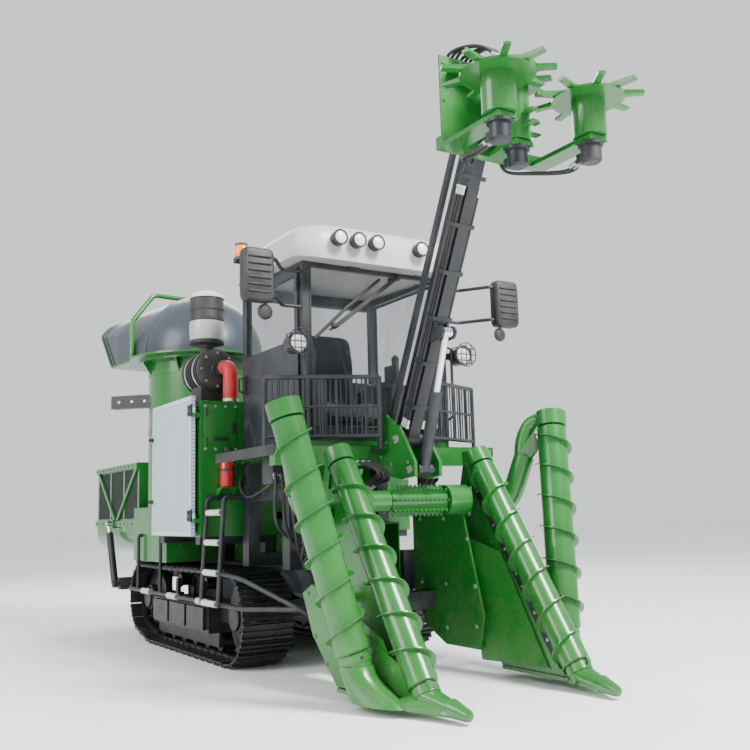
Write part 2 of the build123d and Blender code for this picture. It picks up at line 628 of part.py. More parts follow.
with BuildPart() as door_glass:
    block((-CAB_X + 1, -CAB_X + 1 + GLASS), (DOOR_Y[0] + DOOR_RIM + SEAT, DOOR_Y[1] - DOOR_RIM - SEAT),
          (DOOR_SILL + SEAT, DOOR_Z[1] - DOOR_RIM - SEAT))
keep(door_glass, "door_glass")

with BuildPart() as seat_pads:
    block((-250, 250), (-850, -330), (1900 + SEAT, 2020))
    block((-240, 240), (-420, -300), (2020 + SEAT, 2650))
keep(seat_pads, "seat_pads")

with BuildPart() as cab_fittings:
    block((-200, 200), (-700, -380), (FLOOR_Z + SEAT, 1900))
    for side in SIDES.values():
        block(span(300, 460, side), (-950, -380), (FLOOR_Z + SEAT, 2180))
        bar_z((side * 380, -880), 18, (2180, 2340))
keep(cab_fittings, "cab_fittings")

# Guard rails, a shallow vee in front of the cab
with BuildPart() as guard_rails:
    for side in SIDES.values():
        outer, inner = (side * 930, -1170), (side * 170, -1515)
        for z, r in ((2140, 16), (1925, 10), (1710, 14)):
            round_bar((*outer, z), (*inner, z), r)
        for i in range(9):
            x = outer[0] + (inner[0] - outer[0]) * i / 8
            y = outer[1] + (inner[1] - outer[1]) * i / 8
            bar_z((x, y), 16 if i in (0, 8) else 9, (1710 if i else DECK_Z[1] + SEAT, 2140))
        tube(((*inner, 1710), (*inner, 1605), (inner[0], DECK_Y[0] - SEAT, 1605)), 14, 30)
keep(guard_rails, "guard_rails")

# Lamps and mirrors
with BuildPart() as lamps:
    for side in SIDES.values():
        bar_y((side * 735, 2386), 75, (-1330, -1240))
        block(span(CAB_X + SEAT, 750, side), (-1241, -1205), (2360, 2412))
    for x in (-460, -300, -140, 260, 520):
        bar_y((x, 3160), 55, (ROOF_Y[0] - 55, ROOF_Y[0] - SEAT))
    block((-960, -ROOF_X - SEAT), (-720, -680), (3110, 3130))
    bar_z((-900, -700), 50, (3130, 3260))
    with BuildPart(spoke_z(TOWER, 2326, TAIL_TURN), mode=Mode.PRIVATE) as tail:
        with Locations((TOWER_R + 230, 0, 0)):
            Box(460, 90, 130)
        bar_z(TOWER, TOWER_R + SEAT, (2200, 2450), mode=Mode.SUBTRACT)
    add(tail.part)
keep(lamps, "lamps")

with BuildPart() as mirrors:
    for side in SIDES.values():
        block(span(1000, 1200, side), (-1465, -1405), (2640, 2990))
        for z in (2680, 2950):
            arm = ((CAB_X + SEAT, -1205, z), (800, -1205, z), (960, -1435, z), (1050, -1435, z))
            tube([mirror_x(p, side) for p in arm], 14, 50)
keep(mirrors, "mirrors")

# Engine bay on the frame behind the cab
with BuildPart() as engine_housing:
    block((-BAY_X, BAY_X), BAY_Y, BAY_Z)
    block((-BAY_X + 16, BAY_X - 16), (BAY_Y[0] + 16, BAY_Y[1] - 16), (BAY_Z[0] - 1, BAY_Z[1] - 16),
          mode=Mode.SUBTRACT)
    block((-BAY_X - 1, -BAY_X + 17), (20, 890), (1060, 2040), mode=Mode.SUBTRACT)
    block((-335, 335), (BAY_Y[0] - 1, BAY_Y[1] + 1), (BAY_Z[0] - 1, 1186), mode=Mode.SUBTRACT)
    for z in (1150, 2000):
        block((-1046, -BAY_X + 1), (SCREEN_Y[0] - 34, SCREEN_Y[0] - 20), (z - 40, z - SEAT))
        bar_z((-1046, SCREEN_Y[0] - 20), 14, (z - 40, z - SEAT))
keep(engine_housing, "engine_housing")

with BuildPart() as power_pack:
    block((-420, 420), (60, 880), (BEARER_TOP + SEAT, 1850))
    block((-960, -840), (-40, 850), (BAY_Z[0] + SEAT, 2020))
keep(power_pack, "power_pack")

SCREEN_AXIS = (-1046, SCREEN_Y[0] - 20)
with BuildPart() as screen_door:
    block(SCREEN_X, SCREEN_Y, SCREEN_Z)
    for z in (1150, 2000):
        bar_z(SCREEN_AXIS, 14, (z, z + 40))
        block((-1052, -1040), (SCREEN_AXIS[1], SCREEN_Y[0] + 1), (z, z + 40))
keep(screen_door, "screen_door")

with BuildPart() as air_filter:
    bar_y(FILTER, FILTER_R, (170, 570))
    block((FILTER[0] - 120, FILTER[0] + 120), (250, 490), (BAY_Z[1] + SEAT, FILTER[1] - 100))
    bar_z((FILTER[0], 430), 60, (FILTER[1], 2660))
    bar_z((FILTER[0], 430), 150, (2660 + SEAT, 2850))
    bar_z((FILTER[0], 430), 130, (2849, 3080))
    bar_z((FILTER[0], 430), 155, (3079, 3150))
keep(air_filter, "air_filter")

with BuildPart() as intake_elbow:
    elbow = ((170 - SEAT, 2420), (40, 2420), (40, BAY_Z[1] + SEAT))
    tube([(FILTER[0] + 60, *p) for p in elbow], 62, 95)
keep(intake_elbow, "intake_elbow")

with BuildPart() as extinguisher:
    block((-870, -730), (-215, BAY_Y[0] - SEAT), (1380, 1392))
    bar_z((-800, -150), 55, (1391, 1640))
    bar_z((-800, -150), 22, (1639, 1710))
keep(extinguisher, "extinguisher")

# Trash extractor: tower, slew ring, fan and swivelling hood
with BuildPart() as extractor_tower:
    bar_z(TOWER, TOWER_R, TOWER_Z)
    bar_z(TOWER, TOWER_R - SHEET, (TOWER_Z[0] - 1, TOWER_Z[1] + 1), mode=Mode.SUBTRACT)
keep(extractor_tower, "extractor_tower")

with BuildPart() as slew_ring:
    bar_z(TOWER, RING_R, (TOWER_Z[1] - RING_THICK, TOWER_Z[1]))
    for turn in range(8):
        gusset = spoke_z(TOWER, TOWER_Z[1] - RING_THICK, 45 * turn)
        upright = Plane(origin=gusset.origin, x_dir=gusset.x_dir, z_dir=gusset.y_dir)
        with BuildSketch(upright):
            with BuildLine():
                Polyline((TOWER_R - 10, -1), (RING_R - 10, -1), (TOWER_R - 10, 150), close=True)
            make_face()
        extrude(amount=6, both=True)
    bar_z(TOWER, TOWER_R + SEAT, (TOWER_Z[0], TOWER_Z[1] + 1), mode=Mode.SUBTRACT)
keep(slew_ring, "slew_ring")

with BuildPart() as fan_mount:
    half = TOWER_R - SHEET - SEAT
    block((TOWER[0] - half - 1, TOWER[0] + half + 1), (TOWER[1] - 40, TOWER[1] + 40), (2440, 2500))
    bar_z(TOWER, 70, (2380, 2540))
    with BuildPart(mode=Mode.PRIVATE) as bore:
        bar_z(TOWER, half, (2300, 2600))
    add(bore.part, mode=Mode.INTERSECT)
    bar_z(TOWER, SHAFT_R + PIN_GAP, (2440, 2545), mode=Mode.SUBTRACT)
keep(fan_mount, "fan_mount")

with BuildPart() as extractor_fan:
    bar_z(TOWER, 25, (2450, 2560))
    bar_z(TOWER, 90, (2540 + RUN, 2640))
    for turn in range(4):
        with BuildSketch(spoke_z(TOWER, 2590, 90 * turn)):
            with Locations(((FAN_R + 60) / 2, 0)):
                Rectangle(FAN_R - 60, 130)
        extrude(amount=12)
keep(extractor_fan, "extractor_fan")

HOOD_BASE = spoke_z(TOWER, TOWER_Z[1] + 0.5, HOOD_TURN)
# Columns: distance along the hood, half width, height of the straight side, full height
HOOD_SECTIONS = (
    (0, HOOD_R, 60, HOOD_HIGH),
    (650, HOOD_R, 300, HOOD_HIGH),
    (HOOD_OVER, HOOD_R - 50, 400, HOOD_HIGH - 20),
)
with BuildPart() as hood_frame:
    with BuildSketch(HOOD_BASE):
        Circle(HOOD_R + 100)
        with BuildLine():
            Polyline((0, HOOD_R + 30), (HOOD_UNDER - 20, HOOD_R + 12), (HOOD_UNDER - 20, -HOOD_R - 12),
                     (0, -HOOD_R - 30), close=True)
        make_face()
        Circle(TOWER_R - SHEET, mode=Mode.SUBTRACT)
    extrude(amount=HOOD_PLATE)
    arch_x, arch_z = HOOD_R + ARCH_R + 1, HOOD_PLATE + HOOD_HIGH + ARCH_R + 10
    arch = ((-arch_x, 10), (-arch_x, 400), (-400, arch_z), (400, arch_z), (arch_x, 400), (arch_x, 10))
    tube([HOOD_BASE.from_local_coords(Vector(260, *p)) for p in arch], ARCH_R, 90)
keep(hood_frame, "hood_frame")

with BuildPart() as hood_shell:
    lift = HOOD_BASE.offset(HOOD_PLATE + SEAT)
    mouth = Plane(origin=lift.origin, x_dir=lift.y_dir, z_dir=lift.x_dir)
    for wall, mode in ((0, Mode.ADD), (HOOD_WALL, Mode.SUBTRACT)):
        for along, half, straight, high in HOOD_SECTIONS:
            with BuildSketch(mouth.offset(along + (wall if along else 0))):
                with BuildLine():
                    ThreePointArc((wall - half, straight), (0, high - wall), (half - wall, straight))
                    Polyline((half - wall, straight), (half - wall, 0), (wall - half, 0),
                             (wall - half, straight))
                make_face()
        loft(ruled=True, mode=mode)
        along, half, straight, high = HOOD_SECTIONS[0]
        with BuildSketch(mouth):
            with BuildLine():
                ThreePointArc((wall - half, straight), (0, high - wall), (half - wall, straight))
                Polyline((half - wall, straight), (half - wall, 0), (wall - half, 0),
                         (wall - half, straight))
            make_face()
            Rectangle(2 * HOOD_R, 4 * HOOD_R, align=(Align.MAX, Align.CENTER), mode=Mode.SUBTRACT)
        revolve(axis=Axis(lift.origin, (0, 0, 1)), revolution_arc=180, mode=mode)
    beyond = Plane(origin=lift.origin, x_dir=lift.x_dir, z_dir=-lift.y_dir)
    with BuildSketch(beyond):
        with BuildLine():
            Polyline((HOOD_UNDER, -1), (HOOD_OVER + 50, -1), (HOOD_OVER + 50, HOOD_HIGH),
                     (HOOD_OVER, HOOD_HIGH), close=True)
        make_face()
    extrude(amount=HOOD_R, both=True, mode=Mode.SUBTRACT)
keep(hood_shell, "hood_shell")

with BuildPart() as oil_tank:
    block((TOWER[0] + TOWER_R + 20, 900), (990, 1960), (TOWER_Z[0], 2000))
keep(oil_tank, "oil_tank")

# Tipping bin: rounded shell with an open top, mesh windows, and a hinge on the frame's tail
BAY_LONG = (BIN_Y[1] - BIN_Y[0] - 2 * BIN_POST - (BIN_BAYS - 1) * BIN_POST) / BIN_BAYS
BAY_YS = [BIN_Y[0] + BIN_POST + bay * (BAY_LONG + BIN_POST) for bay in range(BIN_BAYS)]
MESH_Z = (BIN_RAIL_Z + 50, BIN_Z[1] - 60)
with BuildPart() as bin_shell:
    block((-BIN_X, BIN_X), BIN_Y, BIN_Z)
    fillet(bin_shell.edges().filter_by(Axis.Y).sort_by(Axis.Z)[:2], BIN_ROUND)
    with BuildPart(mode=Mode.PRIVATE) as hollow:
        block((-BIN_X + BIN_WALL, BIN_X - BIN_WALL), (BIN_Y[0] + BIN_WALL, BIN_Y[1] - BIN_WALL),
              (BIN_Z[0] + BIN_WALL, BIN_Z[1] + 1))
        fillet(hollow.edges().filter_by(Axis.Y).sort_by(Axis.Z)[:2], BIN_ROUND - BIN_WALL)
    add(hollow.part, mode=Mode.SUBTRACT)
    block((-450, 450), (BIN_Y[0] - 1, BIN_Y[0] + BIN_WALL + 1), (1000, BIN_Z[1] + 1), mode=Mode.SUBTRACT)
    for side in SIDES.values():
        for y in BAY_YS:
            block(span(BIN_X - BIN_WALL - 1, BIN_X + 1, side), (y, y + BAY_LONG), MESH_Z, mode=Mode.SUBTRACT)
        for y in BIN_Y:
            foot = (side * (BIN_X + 8), sum(BIN_Y) / 2, BIN_RAIL_Z)
            beam(foot, (foot[0], y + (25 if y < foot[1] else -25), BIN_Z[1] - 25), 20, 40)
        outside = span(BIN_X - 1, BIN_X + 24, side)
        block(outside, BIN_Y, (BIN_RAIL_Z - 30, BIN_RAIL_Z + 30))
        block(outside, BIN_Y, (BIN_Z[1] - 50, BIN_Z[1]))
        ear = ((BIN_HINGE[0] - 60, BIN_Z[0] + 1), (BIN_HINGE[0] - 30, BIN_HINGE[1] - 40),
               (BIN_HINGE[0] + 30, BIN_HINGE[1] - 40), (BIN_HINGE[0] + 60, BIN_Z[0] + 1))
        side_plate(ear, span(RAIL_OUT + 8, RAIL_OUT + 38, side))
        bar_x(BIN_HINGE, BIN_PIN_R, span(RAIL_IN - 10, RAIL_OUT + 20, side))
        block(span(BIN_X - 1, LIFT_X - 30, side), (LIFT_EYE[0] - 45, LIFT_EYE[0] + 45),
              (LIFT_EYE[1] - 45, LIFT_EYE[1] + 45))
keep(bin_shell, "bin_shell")

with BuildPart() as bin_mesh:
    for side in SIDES.values():
        for y in BAY_YS:
            block(span(BIN_X - BIN_WALL, BIN_X - BIN_WALL + MESH, side), (y + SEAT, y + BAY_LONG - SEAT),
                  (MESH_Z[0] + SEAT, MESH_Z[1] - SEAT))
keep(bin_mesh, "bin_mesh")

LIFT_REST = math.dist(LIFT_FOOT, LIFT_EYE)
with BuildPart() as lift_barrels:
    for side in SIDES.values():
        at, to = in_plane(LIFT_FOOT, side * LIFT_X), in_plane(LIFT_EYE, side * LIFT_X)
        round_bar(at, to, LIFT_R, 0, 560)
        bar_x(LIFT_FOOT, 40, span(901, LIFT_X + 24, side))
        bar_x(LIFT_FOOT, BIN_PIN_R + PIN_GAP, span(800, 1000, side), mode=Mode.SUBTRACT)
        round_bar(at, to, LIFT_ROD_R + PIN_GAP, 60, 561, mode=Mode.SUBTRACT)
keep(lift_barrels, "lift_barrels")

with BuildPart() as lift_rods:
    for side in SIDES.values():
        at, to = in_plane(LIFT_FOOT, side * LIFT_X), in_plane(LIFT_EYE, side * LIFT_X)
        round_bar(at, to, LIFT_ROD_R, 80)
        bar_x(LIFT_EYE, 36, span(LIFT_X - 29, LIFT_X + 24, side))
keep(lift_rods, "lift_rods")

# Side rails outside the tracks, with the ladder on the right
# Columns: height, distance out from the machine's middle
LADDER_RUNGS = [(z, SIDE_RAIL_X + out) for z, out in ((500, 58), (730, 46), (960, 33), (1190, 19))]
with BuildPart() as side_rails:
    for side in SIDES.values():
        low = ((455, -1300, 510), (SIDE_RAIL_X - 200, -1300, 510), (SIDE_RAIL_X, -835, 490),
               (SIDE_RAIL_X, 1960, 490))
        tube([mirror_x(p, side) for p in low], 18, 60)
        for y in (1050, 1700):
            post = ((SIDE_RAIL_X, 490), (SIDE_RAIL_X, 1000), (915 + SEAT, 1000))
            tube([(side * x, y, z) for x, z in post], 16, 25)
    for y in (-480, -130):
        stile = ((SIDE_RAIL_X + 60, 490), (SIDE_RAIL_X + 10, 1310), (UPRIGHT_X[1] + SEAT, 1310))
        tube([(-x, y, z) for x, z in stile], 18, 50)
    for z, x in LADDER_RUNGS:
        bar_y((-x, z), 16, (-480, -130))
keep(side_rails, "side_rails")

with BuildPart() as step_sleeves:
    for y in (0, 715, 1440):
        for side in SIDES.values():
            bar_y((side * SIDE_RAIL_X, 490), 26, (y - 110, y + 110))
            bar_y((side * SIDE_RAIL_X, 490), 18 + SEAT, (y - 111, y + 111), mode=Mode.SUBTRACT)
    for z, x in LADDER_RUNGS:
        bar_y((-x, z), 24, (-440, -170))
        bar_y((-x, z), 16 + SEAT, (-441, -169), mode=Mode.SUBTRACT)
keep(step_sleeves, "step_sleeves")
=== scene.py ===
"""Looks of the sugarcane harvester: finishes, tracks, fittings, studio and camera.

Metres, +Z up, front at -Y.
"""
import json
import math

import bmesh
import bpy
from bpy.props import FloatProperty, FloatVectorProperty, IntProperty, PointerProperty
from mathutils import Matrix, Vector

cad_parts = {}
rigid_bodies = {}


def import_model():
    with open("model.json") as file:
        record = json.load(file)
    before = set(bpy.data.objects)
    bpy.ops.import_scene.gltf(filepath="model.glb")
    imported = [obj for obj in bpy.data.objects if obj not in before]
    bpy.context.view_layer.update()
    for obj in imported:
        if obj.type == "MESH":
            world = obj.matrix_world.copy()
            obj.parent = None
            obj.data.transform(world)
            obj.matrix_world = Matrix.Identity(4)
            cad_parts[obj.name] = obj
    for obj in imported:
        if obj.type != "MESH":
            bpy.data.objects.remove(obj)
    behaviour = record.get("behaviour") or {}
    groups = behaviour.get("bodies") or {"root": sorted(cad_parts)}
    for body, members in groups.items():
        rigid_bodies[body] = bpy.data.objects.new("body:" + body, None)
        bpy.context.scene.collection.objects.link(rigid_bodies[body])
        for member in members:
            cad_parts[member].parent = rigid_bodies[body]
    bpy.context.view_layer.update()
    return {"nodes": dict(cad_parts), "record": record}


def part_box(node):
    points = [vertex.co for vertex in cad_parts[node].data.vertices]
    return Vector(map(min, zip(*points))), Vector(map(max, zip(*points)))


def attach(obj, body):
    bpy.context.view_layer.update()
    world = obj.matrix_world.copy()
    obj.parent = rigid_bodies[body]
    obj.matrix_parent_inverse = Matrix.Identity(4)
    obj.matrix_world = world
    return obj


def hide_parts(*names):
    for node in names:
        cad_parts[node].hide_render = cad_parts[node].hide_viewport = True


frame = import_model()

bl_info = {
    "name": "Sugarcane Harvester",
    "version": (1, 0, 0),
    "blender": (4, 5, 0),
    "location": "3D View > Sidebar > Harvester",
    "description": "Dresses a sugarcane harvester with its finishes, tracks, hoses and fittings",
    "category": "Object",
}

SIDES = {"right": -1, "left": 1}
X, Y, Z = Vector((1, 0, 0)), Vector((0, 1, 0)), Vector((0, 0, 1))

# Crawler track: wheel centres in (y, z) and the shoe plates' radius round them
IDLER = ((-0.285, 0.372), 0.350)
END_ROLLER = ((1.600, 0.132), 0.110)
SPROCKET = ((1.875, 0.400), 0.310)
TRACK_X, WHEEL_X = (0.460, 0.880), (0.610, 0.730)
PLATE_UNDER, GROUND_GAP = 0.040, 0.0005
WEB_OUTLINE = (
    (-0.050, 0.420), (1.620, 0.420), (1.620, 0.580), (1.500, 0.615), (0.050, 0.615), (-0.050, 0.580))
LADDER_LOOP = (
    (-0.985, -0.480, 0.728), (-0.955, -0.800, 0.705), (-0.760, -1.290, 0.524), (-0.740, -1.300, 0.512))

# Crop dividers and intake, as (x, y, z) or (y, z); x is mirrored for the other side
DIVIDER_INNER, SHEET, STRIP = 0.586, 0.006, 0.010
WALL_PANELS = (
    ((-2.360, 0.100), (-1.880, 0.100), (-1.630, 0.400), (-1.885, 0.815)),
    ((-1.845, 0.860), (-1.600, 0.450), (-1.480, 0.660), (-1.330, 0.830), (-1.330, 1.100), (-1.470, 1.340),
     (-1.545, 1.310)),
)
WEAR_STRIP = ((-1.600, 1.310), (-2.400, 0.150))
NOSE_SHOE = (
    (0.543, -2.972, 0.030), (0.573, -2.972, 0.030), (0.573, -2.972, 0.078), (0.543, -2.972, 0.078),
    (0.546, -2.560, 0.046), (0.546, -2.625, 0.125), (0.594, -2.668, 0.168), (0.665, -2.620, 0.135),
    (0.720, -2.500, 0.090), (0.800, -2.430, 0.046), (0.620, -2.430, 0.046))
# Boot under the outer auger: centre, half length and half width of each ring
FOOT_BOOT = (
    ((0.838, -2.245, 0.262), 0.104, 0.104), ((0.832, -2.262, 0.215), 0.112, 0.104),
    ((0.812, -2.300, 0.150), 0.150, 0.102), ((0.785, -2.350, 0.090), 0.205, 0.098),
    ((0.770, -2.375, 0.047), 0.235, 0.096))
THROAT_SHEET = (
    (0.572, -1.900, 0.860), (0.572, -2.350, 0.110), (0.455, -1.790, 0.110), (0.455, -1.610, 0.980))
ARM_PATH = ((0.600, -1.483, 1.150), (0.880, -1.640, 1.170), (0.984, -1.728, 1.555))
ARM_CROOK = (
    (0.968, -1.712, 1.480), (1.000, -1.706, 1.680), (1.040, -1.745, 1.812), (1.118, -1.885, 1.834))
NOSE_TIP, NOSE_ROOT = (0.558, -2.985, 0.050), (0.594, -2.633, 0.110)
# Each auger's foot, head and core radius
AUGERS = {
    "inner": ((0.594, -2.599, 0.159), (0.594, -1.693, 1.479), 0.080),
    "outer": ((0.850, -2.230, 0.330), (1.110, -1.910, 1.759), 0.093),
}
ROLLER_AT, ROLLER_HALF, ROLLER_R, TOOTH_R = (-1.685, 1.235), 0.235, 0.075, 0.112

# Topper boom and head
BOOM = ((-1.629, 1.673), (-2.595, 3.577))
LINK_FOOT, JACK_FOOT = (-1.433, 1.772), (-1.800, 1.450)
HEAD_Y, HEAD_Z = -2.690, 3.400
DRUM_AT, ROTOR_Y = (0.360, -3.235), -2.960
THIN_HOSE = 0.011

# Cab roof columns: height of the rim, half width, front, back, corner size, how far the front drops
ROOF_LEVELS = (
    (3.062, 0.700, -1.425, -0.120, 0.16, 0.050), (3.066, 0.735, -1.440, -0.100, 0.18, 0.060),
    (3.130, 0.760, -1.442, -0.085, 0.20, 0.040), (3.205, 0.752, -1.440, -0.090, 0.22, 0.010),
    (3.262, 0.715, -1.405, -0.130, 0.24, 0.0), (3.302, 0.640, -1.310, -0.210, 0.24, 0.0),
    (3.324, 0.500, -1.130, -0.340, 0.22, 0.0), (3.330, 0.250, -0.900, -0.550, 0.12, 0.0))
BROW = 0.45
# Roof lamps along x, beacon, extractor tower and hood, and tipping bin
ROOF_LAMPS, BEACON = (-0.460, -0.300, -0.140, 0.260, 0.520), (-0.900, -0.700)
TOWER_AT, TAIL_Z = (-0.400, 1.475), 2.326
HOOD_TURN, HOOD_FOOT, HOOD_MOUTH = 98, 2.7008, (0.800, 1.350)
# Columns: distance along the hood, half width, height of the straight side, full height
HOOD_SECTIONS = ((0.0, 0.600, 0.060, 0.640), (0.650, 0.600, 0.300, 0.640), (1.350, 0.550, 0.400, 0.620))
BIN_X, BIN_Y, BIN_POST, BIN_MESH_Z = 0.860, (2.000, 3.540), 0.050, (1.160, 1.660)

# Camera that took the view, and the studio
CAMERA_AT, LENS_MM, SENSOR_MM = (-3.683, -7.198, 1.160), 44.37, 36.0
HEADING, PITCH, ROLL = 31.46, 8.45, -1.50
LIGHT_TARGET, FLOOR_R = (-0.2, -0.6, 1.4), 60.0
# Name, place, size and power of each lamp
LIGHTS = (
    ("key", (2.5, -8.5, 10.5), 3.5, 3300), ("fill", (-11.0, -1.0, 7.0), 6.0, 900),
    ("rim", (3.0, 9.0, 8.0), 6.0, 600))


def length(name, text, value):
    """Length property with a default."""
    return FloatProperty(name=name, description=text, default=value, unit="LENGTH")


def colour(name, text, value):
    """Colour property with a default."""
    return FloatVectorProperty(
        name=name, description=text, subtype="COLOR", size=3, min=0, max=1, default=value)


class Sizes(bpy.types.PropertyGroup):
    """Sizes that a user would change."""
    shoe_pitch: length("Shoe pitch", "Spacing of the track shoes", 0.150)
    bolt: length("Bolt head", "Radius of the panel bolts", 0.011)
    hose: length("Hose radius", "Radius of the hydraulic hoses", 0.013)
    wire: length("Wire radius", "Radius of the bin's mesh wires", 0.0032)
    guard_bars: IntProperty(name="Guard bars", description="Thin bars on each guard rail", default=22)
    mesh_pitch: length("Mesh pitch", "Spacing of the bin's mesh wires", 0.034)


class Colours(bpy.types.PropertyGroup):
    """Paint and material colours."""
    green: colour("Green", "Body enamel", (0.016, 0.172, 0.022))
    black: colour("Black", "Satin frame paint", (0.011, 0.014, 0.020))
    steel: colour("Track steel", "Worn track steel", (0.030, 0.031, 0.034))
    roof: colour("Roof", "Roof moulding", (0.470, 0.462, 0.440))
    hood: colour("Hood", "Extractor hood moulding", (0.030, 0.040, 0.056))
    screen: colour("Screen", "Perforated radiator screen", (0.560, 0.690, 0.750))
    red: colour("Red", "Hose and extinguisher", (0.520, 0.018, 0.020))


def sizes():
    return bpy.context.scene.harvester_sizes


def tint(name):
    return tuple(getattr(bpy.context.scene.harvester_colours, name))


class Field:
    """A node socket that takes part in Python expressions."""

    def __init__(self, graph, socket):
        self.graph, self.socket = graph, socket

    def maths(self, operation, *terms):
        return self.graph.node("ShaderNodeMath", dict(enumerate(terms)), operation=operation)

    def __add__(self, other):
        return self.maths("ADD", self, other)

    def __sub__(self, other):
        return self.maths("SUBTRACT", self, other)

    def __rsub__(self, other):
        return self.maths("SUBTRACT", other, self)

    def __mul__(self, other):
        return self.maths("MULTIPLY", self, other)

    def __truediv__(self, other):
        return self.maths("DIVIDE", self, other)

    def __rtruediv__(self, other):
        return self.maths("DIVIDE", other, self)

    def __gt__(self, other):
        return self.maths("GREATER_THAN", self, other)

    def sin(self):
        return self.maths("SINE", self)

    def modulo(self, size):
        return self.maths("FLOORED_MODULO", self, size)

    def clamp(self):
        return self.graph.node("ShaderNodeClamp", {0: self})

    __radd__, __rmul__ = __add__, __mul__


class Graph:
    """A node tree written as expressions."""

    def __init__(self, tree):
        self.tree = tree

    def node(self, kind, inputs=None, output=0, **settings):
        """New node with its inputs linked or filled; gives one of its outputs."""
        made = self.tree.nodes.new(kind)
        for key, value in settings.items():
            setattr(made, key, value)
        for key, value in (inputs or {}).items():
            if isinstance(value, Field):
                self.tree.links.new(value.socket, made.inputs[key])
            else:
                made.inputs[key].default_value = value
        return Field(self, made.outputs[output])


class Finish(Graph):
    """A material whose nodes read Object coordinates."""

    def __init__(self, name):
        self.material = bpy.data.materials.new(name)
        self.material.use_nodes = True
        super().__init__(self.material.node_tree)
        self.shader = self.tree.nodes["Principled BSDF"]
        self.place = self.node("ShaderNodeTexCoord", output="Object")

    def axis(self, letter):
        return self.node("ShaderNodeSeparateXYZ", {0: self.place}, "XYZ".index(letter))

    def noise(self, scale, detail=4.0, rough=0.55, stretch=None):
        place = self.place
        if stretch:
            place = self.node("ShaderNodeMapping", {"Vector": place, "Scale": stretch})
        return self.node(
            "ShaderNodeTexNoise", {"Vector": place, "Scale": scale, "Detail": detail, "Roughness": rough})

    def between(self, field, low, high):
        """Field stretched so that low gives 0 and high gives 1."""
        return self.node("ShaderNodeMapRange", {0: field, 1: low, 2: high, 3: 0.0, 4: 1.0})

    def spots(self, low, high, *noise):
        """Noise stretched between two of its values."""
        return self.between(self.noise(*noise), low, high)

    def blend(self, factor, first, second):
        """Colour between two colours."""
        inputs = {0: factor}
        for key, value in ((6, first), (7, second)):
            inputs[key] = value if isinstance(value, Field) else (*value, 1)
        return self.node("ShaderNodeMix", inputs, 2, data_type="RGBA")

    def bump(self, height, strength, distance, under=None):
        inputs = {"Height": height, "Strength": strength, "Distance": distance}
        if under:
            inputs["Normal"] = under
        return self.node("ShaderNodeBump", inputs)

    def set(self, **values):
        """Shader sockets by name, with spaces written as underscores."""
        for key, value in values.items():
            socket = self.shader.inputs[key.replace("_", " ").title().replace("Ior", "IOR")]
            if isinstance(value, Field):
                self.tree.links.new(value.socket, socket)
            elif hasattr(socket.default_value, "__len__") and len(value) == 3:
                socket.default_value = (*value, 1)
            else:
                socket.default_value = value
        return self.material


DUST = (0.300, 0.245, 0.170)


def shade(base, gain, lift=0.0):
    """Colour made brighter or darker, up to white."""
    return tuple(min(1, c * gain + lift) for c in base)


def enamel(name, base, rough=0.26, coat=0.30, dust=0.16):
    """Gloss paint with faint fading, orange peel, scuffs, and field dust that gathers low down."""
    f = Finish(name)
    cloud = f.noise(1.7, 3.0)
    body = f.blend(f.between(cloud, 0.30, 0.75), base, shade(base, 0.74))
    scuff = f.spots(0.735, 0.785, 58.0, 5.0, 0.7)
    body = f.blend(scuff * 0.35, body, shade(base, 2.2, 0.02))
    low = 1 - f.between(f.axis("Z"), 0.10, 1.30)
    dirt = (low * f.spots(0.42, 0.72, 6.0, 6.0, 0.65) * dust).clamp()
    peel = f.bump(f.noise(210.0, 2.0), 0.06, 0.001)
    return f.set(
        base_color=f.blend(dirt, body, DUST), roughness=(dirt * 0.5 + scuff * 0.2 + rough).clamp(),
        coat_weight=coat, coat_roughness=0.08, normal=f.bump(cloud, 0.05, 0.004, peel))


def satin(name, base, rough=0.42, dust=0.22, grain=320.0, metallic=0.0):
    """Satin black paint or moulded plastic with a fine grain and grey dust."""
    f = Finish(name)
    patch = f.noise(4.5, 5.0, 0.6)
    haze = (f.between(patch, 0.45, 0.80) * dust).clamp()
    edge = f.spots(0.70, 0.78, 34.0, 6.0, 0.75)
    body = f.blend(haze, base, (0.19, 0.175, 0.155))
    return f.set(
        base_color=f.blend(edge * 0.35, body, shade(base, 3, 0.03)), metallic=metallic,
        roughness=(haze * 0.6 + patch * 0.12 + rough).clamp(),
        normal=f.bump(f.noise(grain, 2.0), 0.12, 0.0008))


def track_iron(name, base):
    """Dark cast steel, polished on its high spots, with dry mud and rust in the hollows."""
    f = Finish(name)
    pit = f.noise(42.0, 6.0, 0.7)
    rust = f.spots(0.52, 0.76, 7.5, 6.0, 0.7)
    mud = f.spots(0.56, 0.78, 3.4, 6.0, 0.62) * f.spots(0.30, 0.70, 80.0, 3.0)
    body = f.blend(rust * 0.20, base, (0.110, 0.060, 0.034))
    return f.set(
        base_color=f.blend(mud * 0.22, body, (0.180, 0.145, 0.105)),
        metallic=(0.62 - rust * 0.30 - mud * 0.4).clamp(),
        roughness=(0.32 + rust * 0.25 + mud * 0.35 + pit * 0.1).clamp(), normal=f.bump(pit, 0.32, 0.003))


def worn_steel(name, base=(0.42, 0.42, 0.40), rough=0.30):
    """Bare steel with long brushed streaks and a few stains."""
    f = Finish(name)
    streak = f.noise(24.0, 4.0, 0.6, (1.0, 9.0, 1.0))
    stain = f.spots(0.56, 0.78, 9.0, 5.0)
    return f.set(
        base_color=f.blend(stain * 0.5, base, (0.16, 0.11, 0.075)), metallic=(0.95 - stain * 0.5).clamp(),
        roughness=(streak * 0.22 + stain * 0.25 + rough - 0.10).clamp(), normal=f.bump(streak, 0.10, 0.0006))


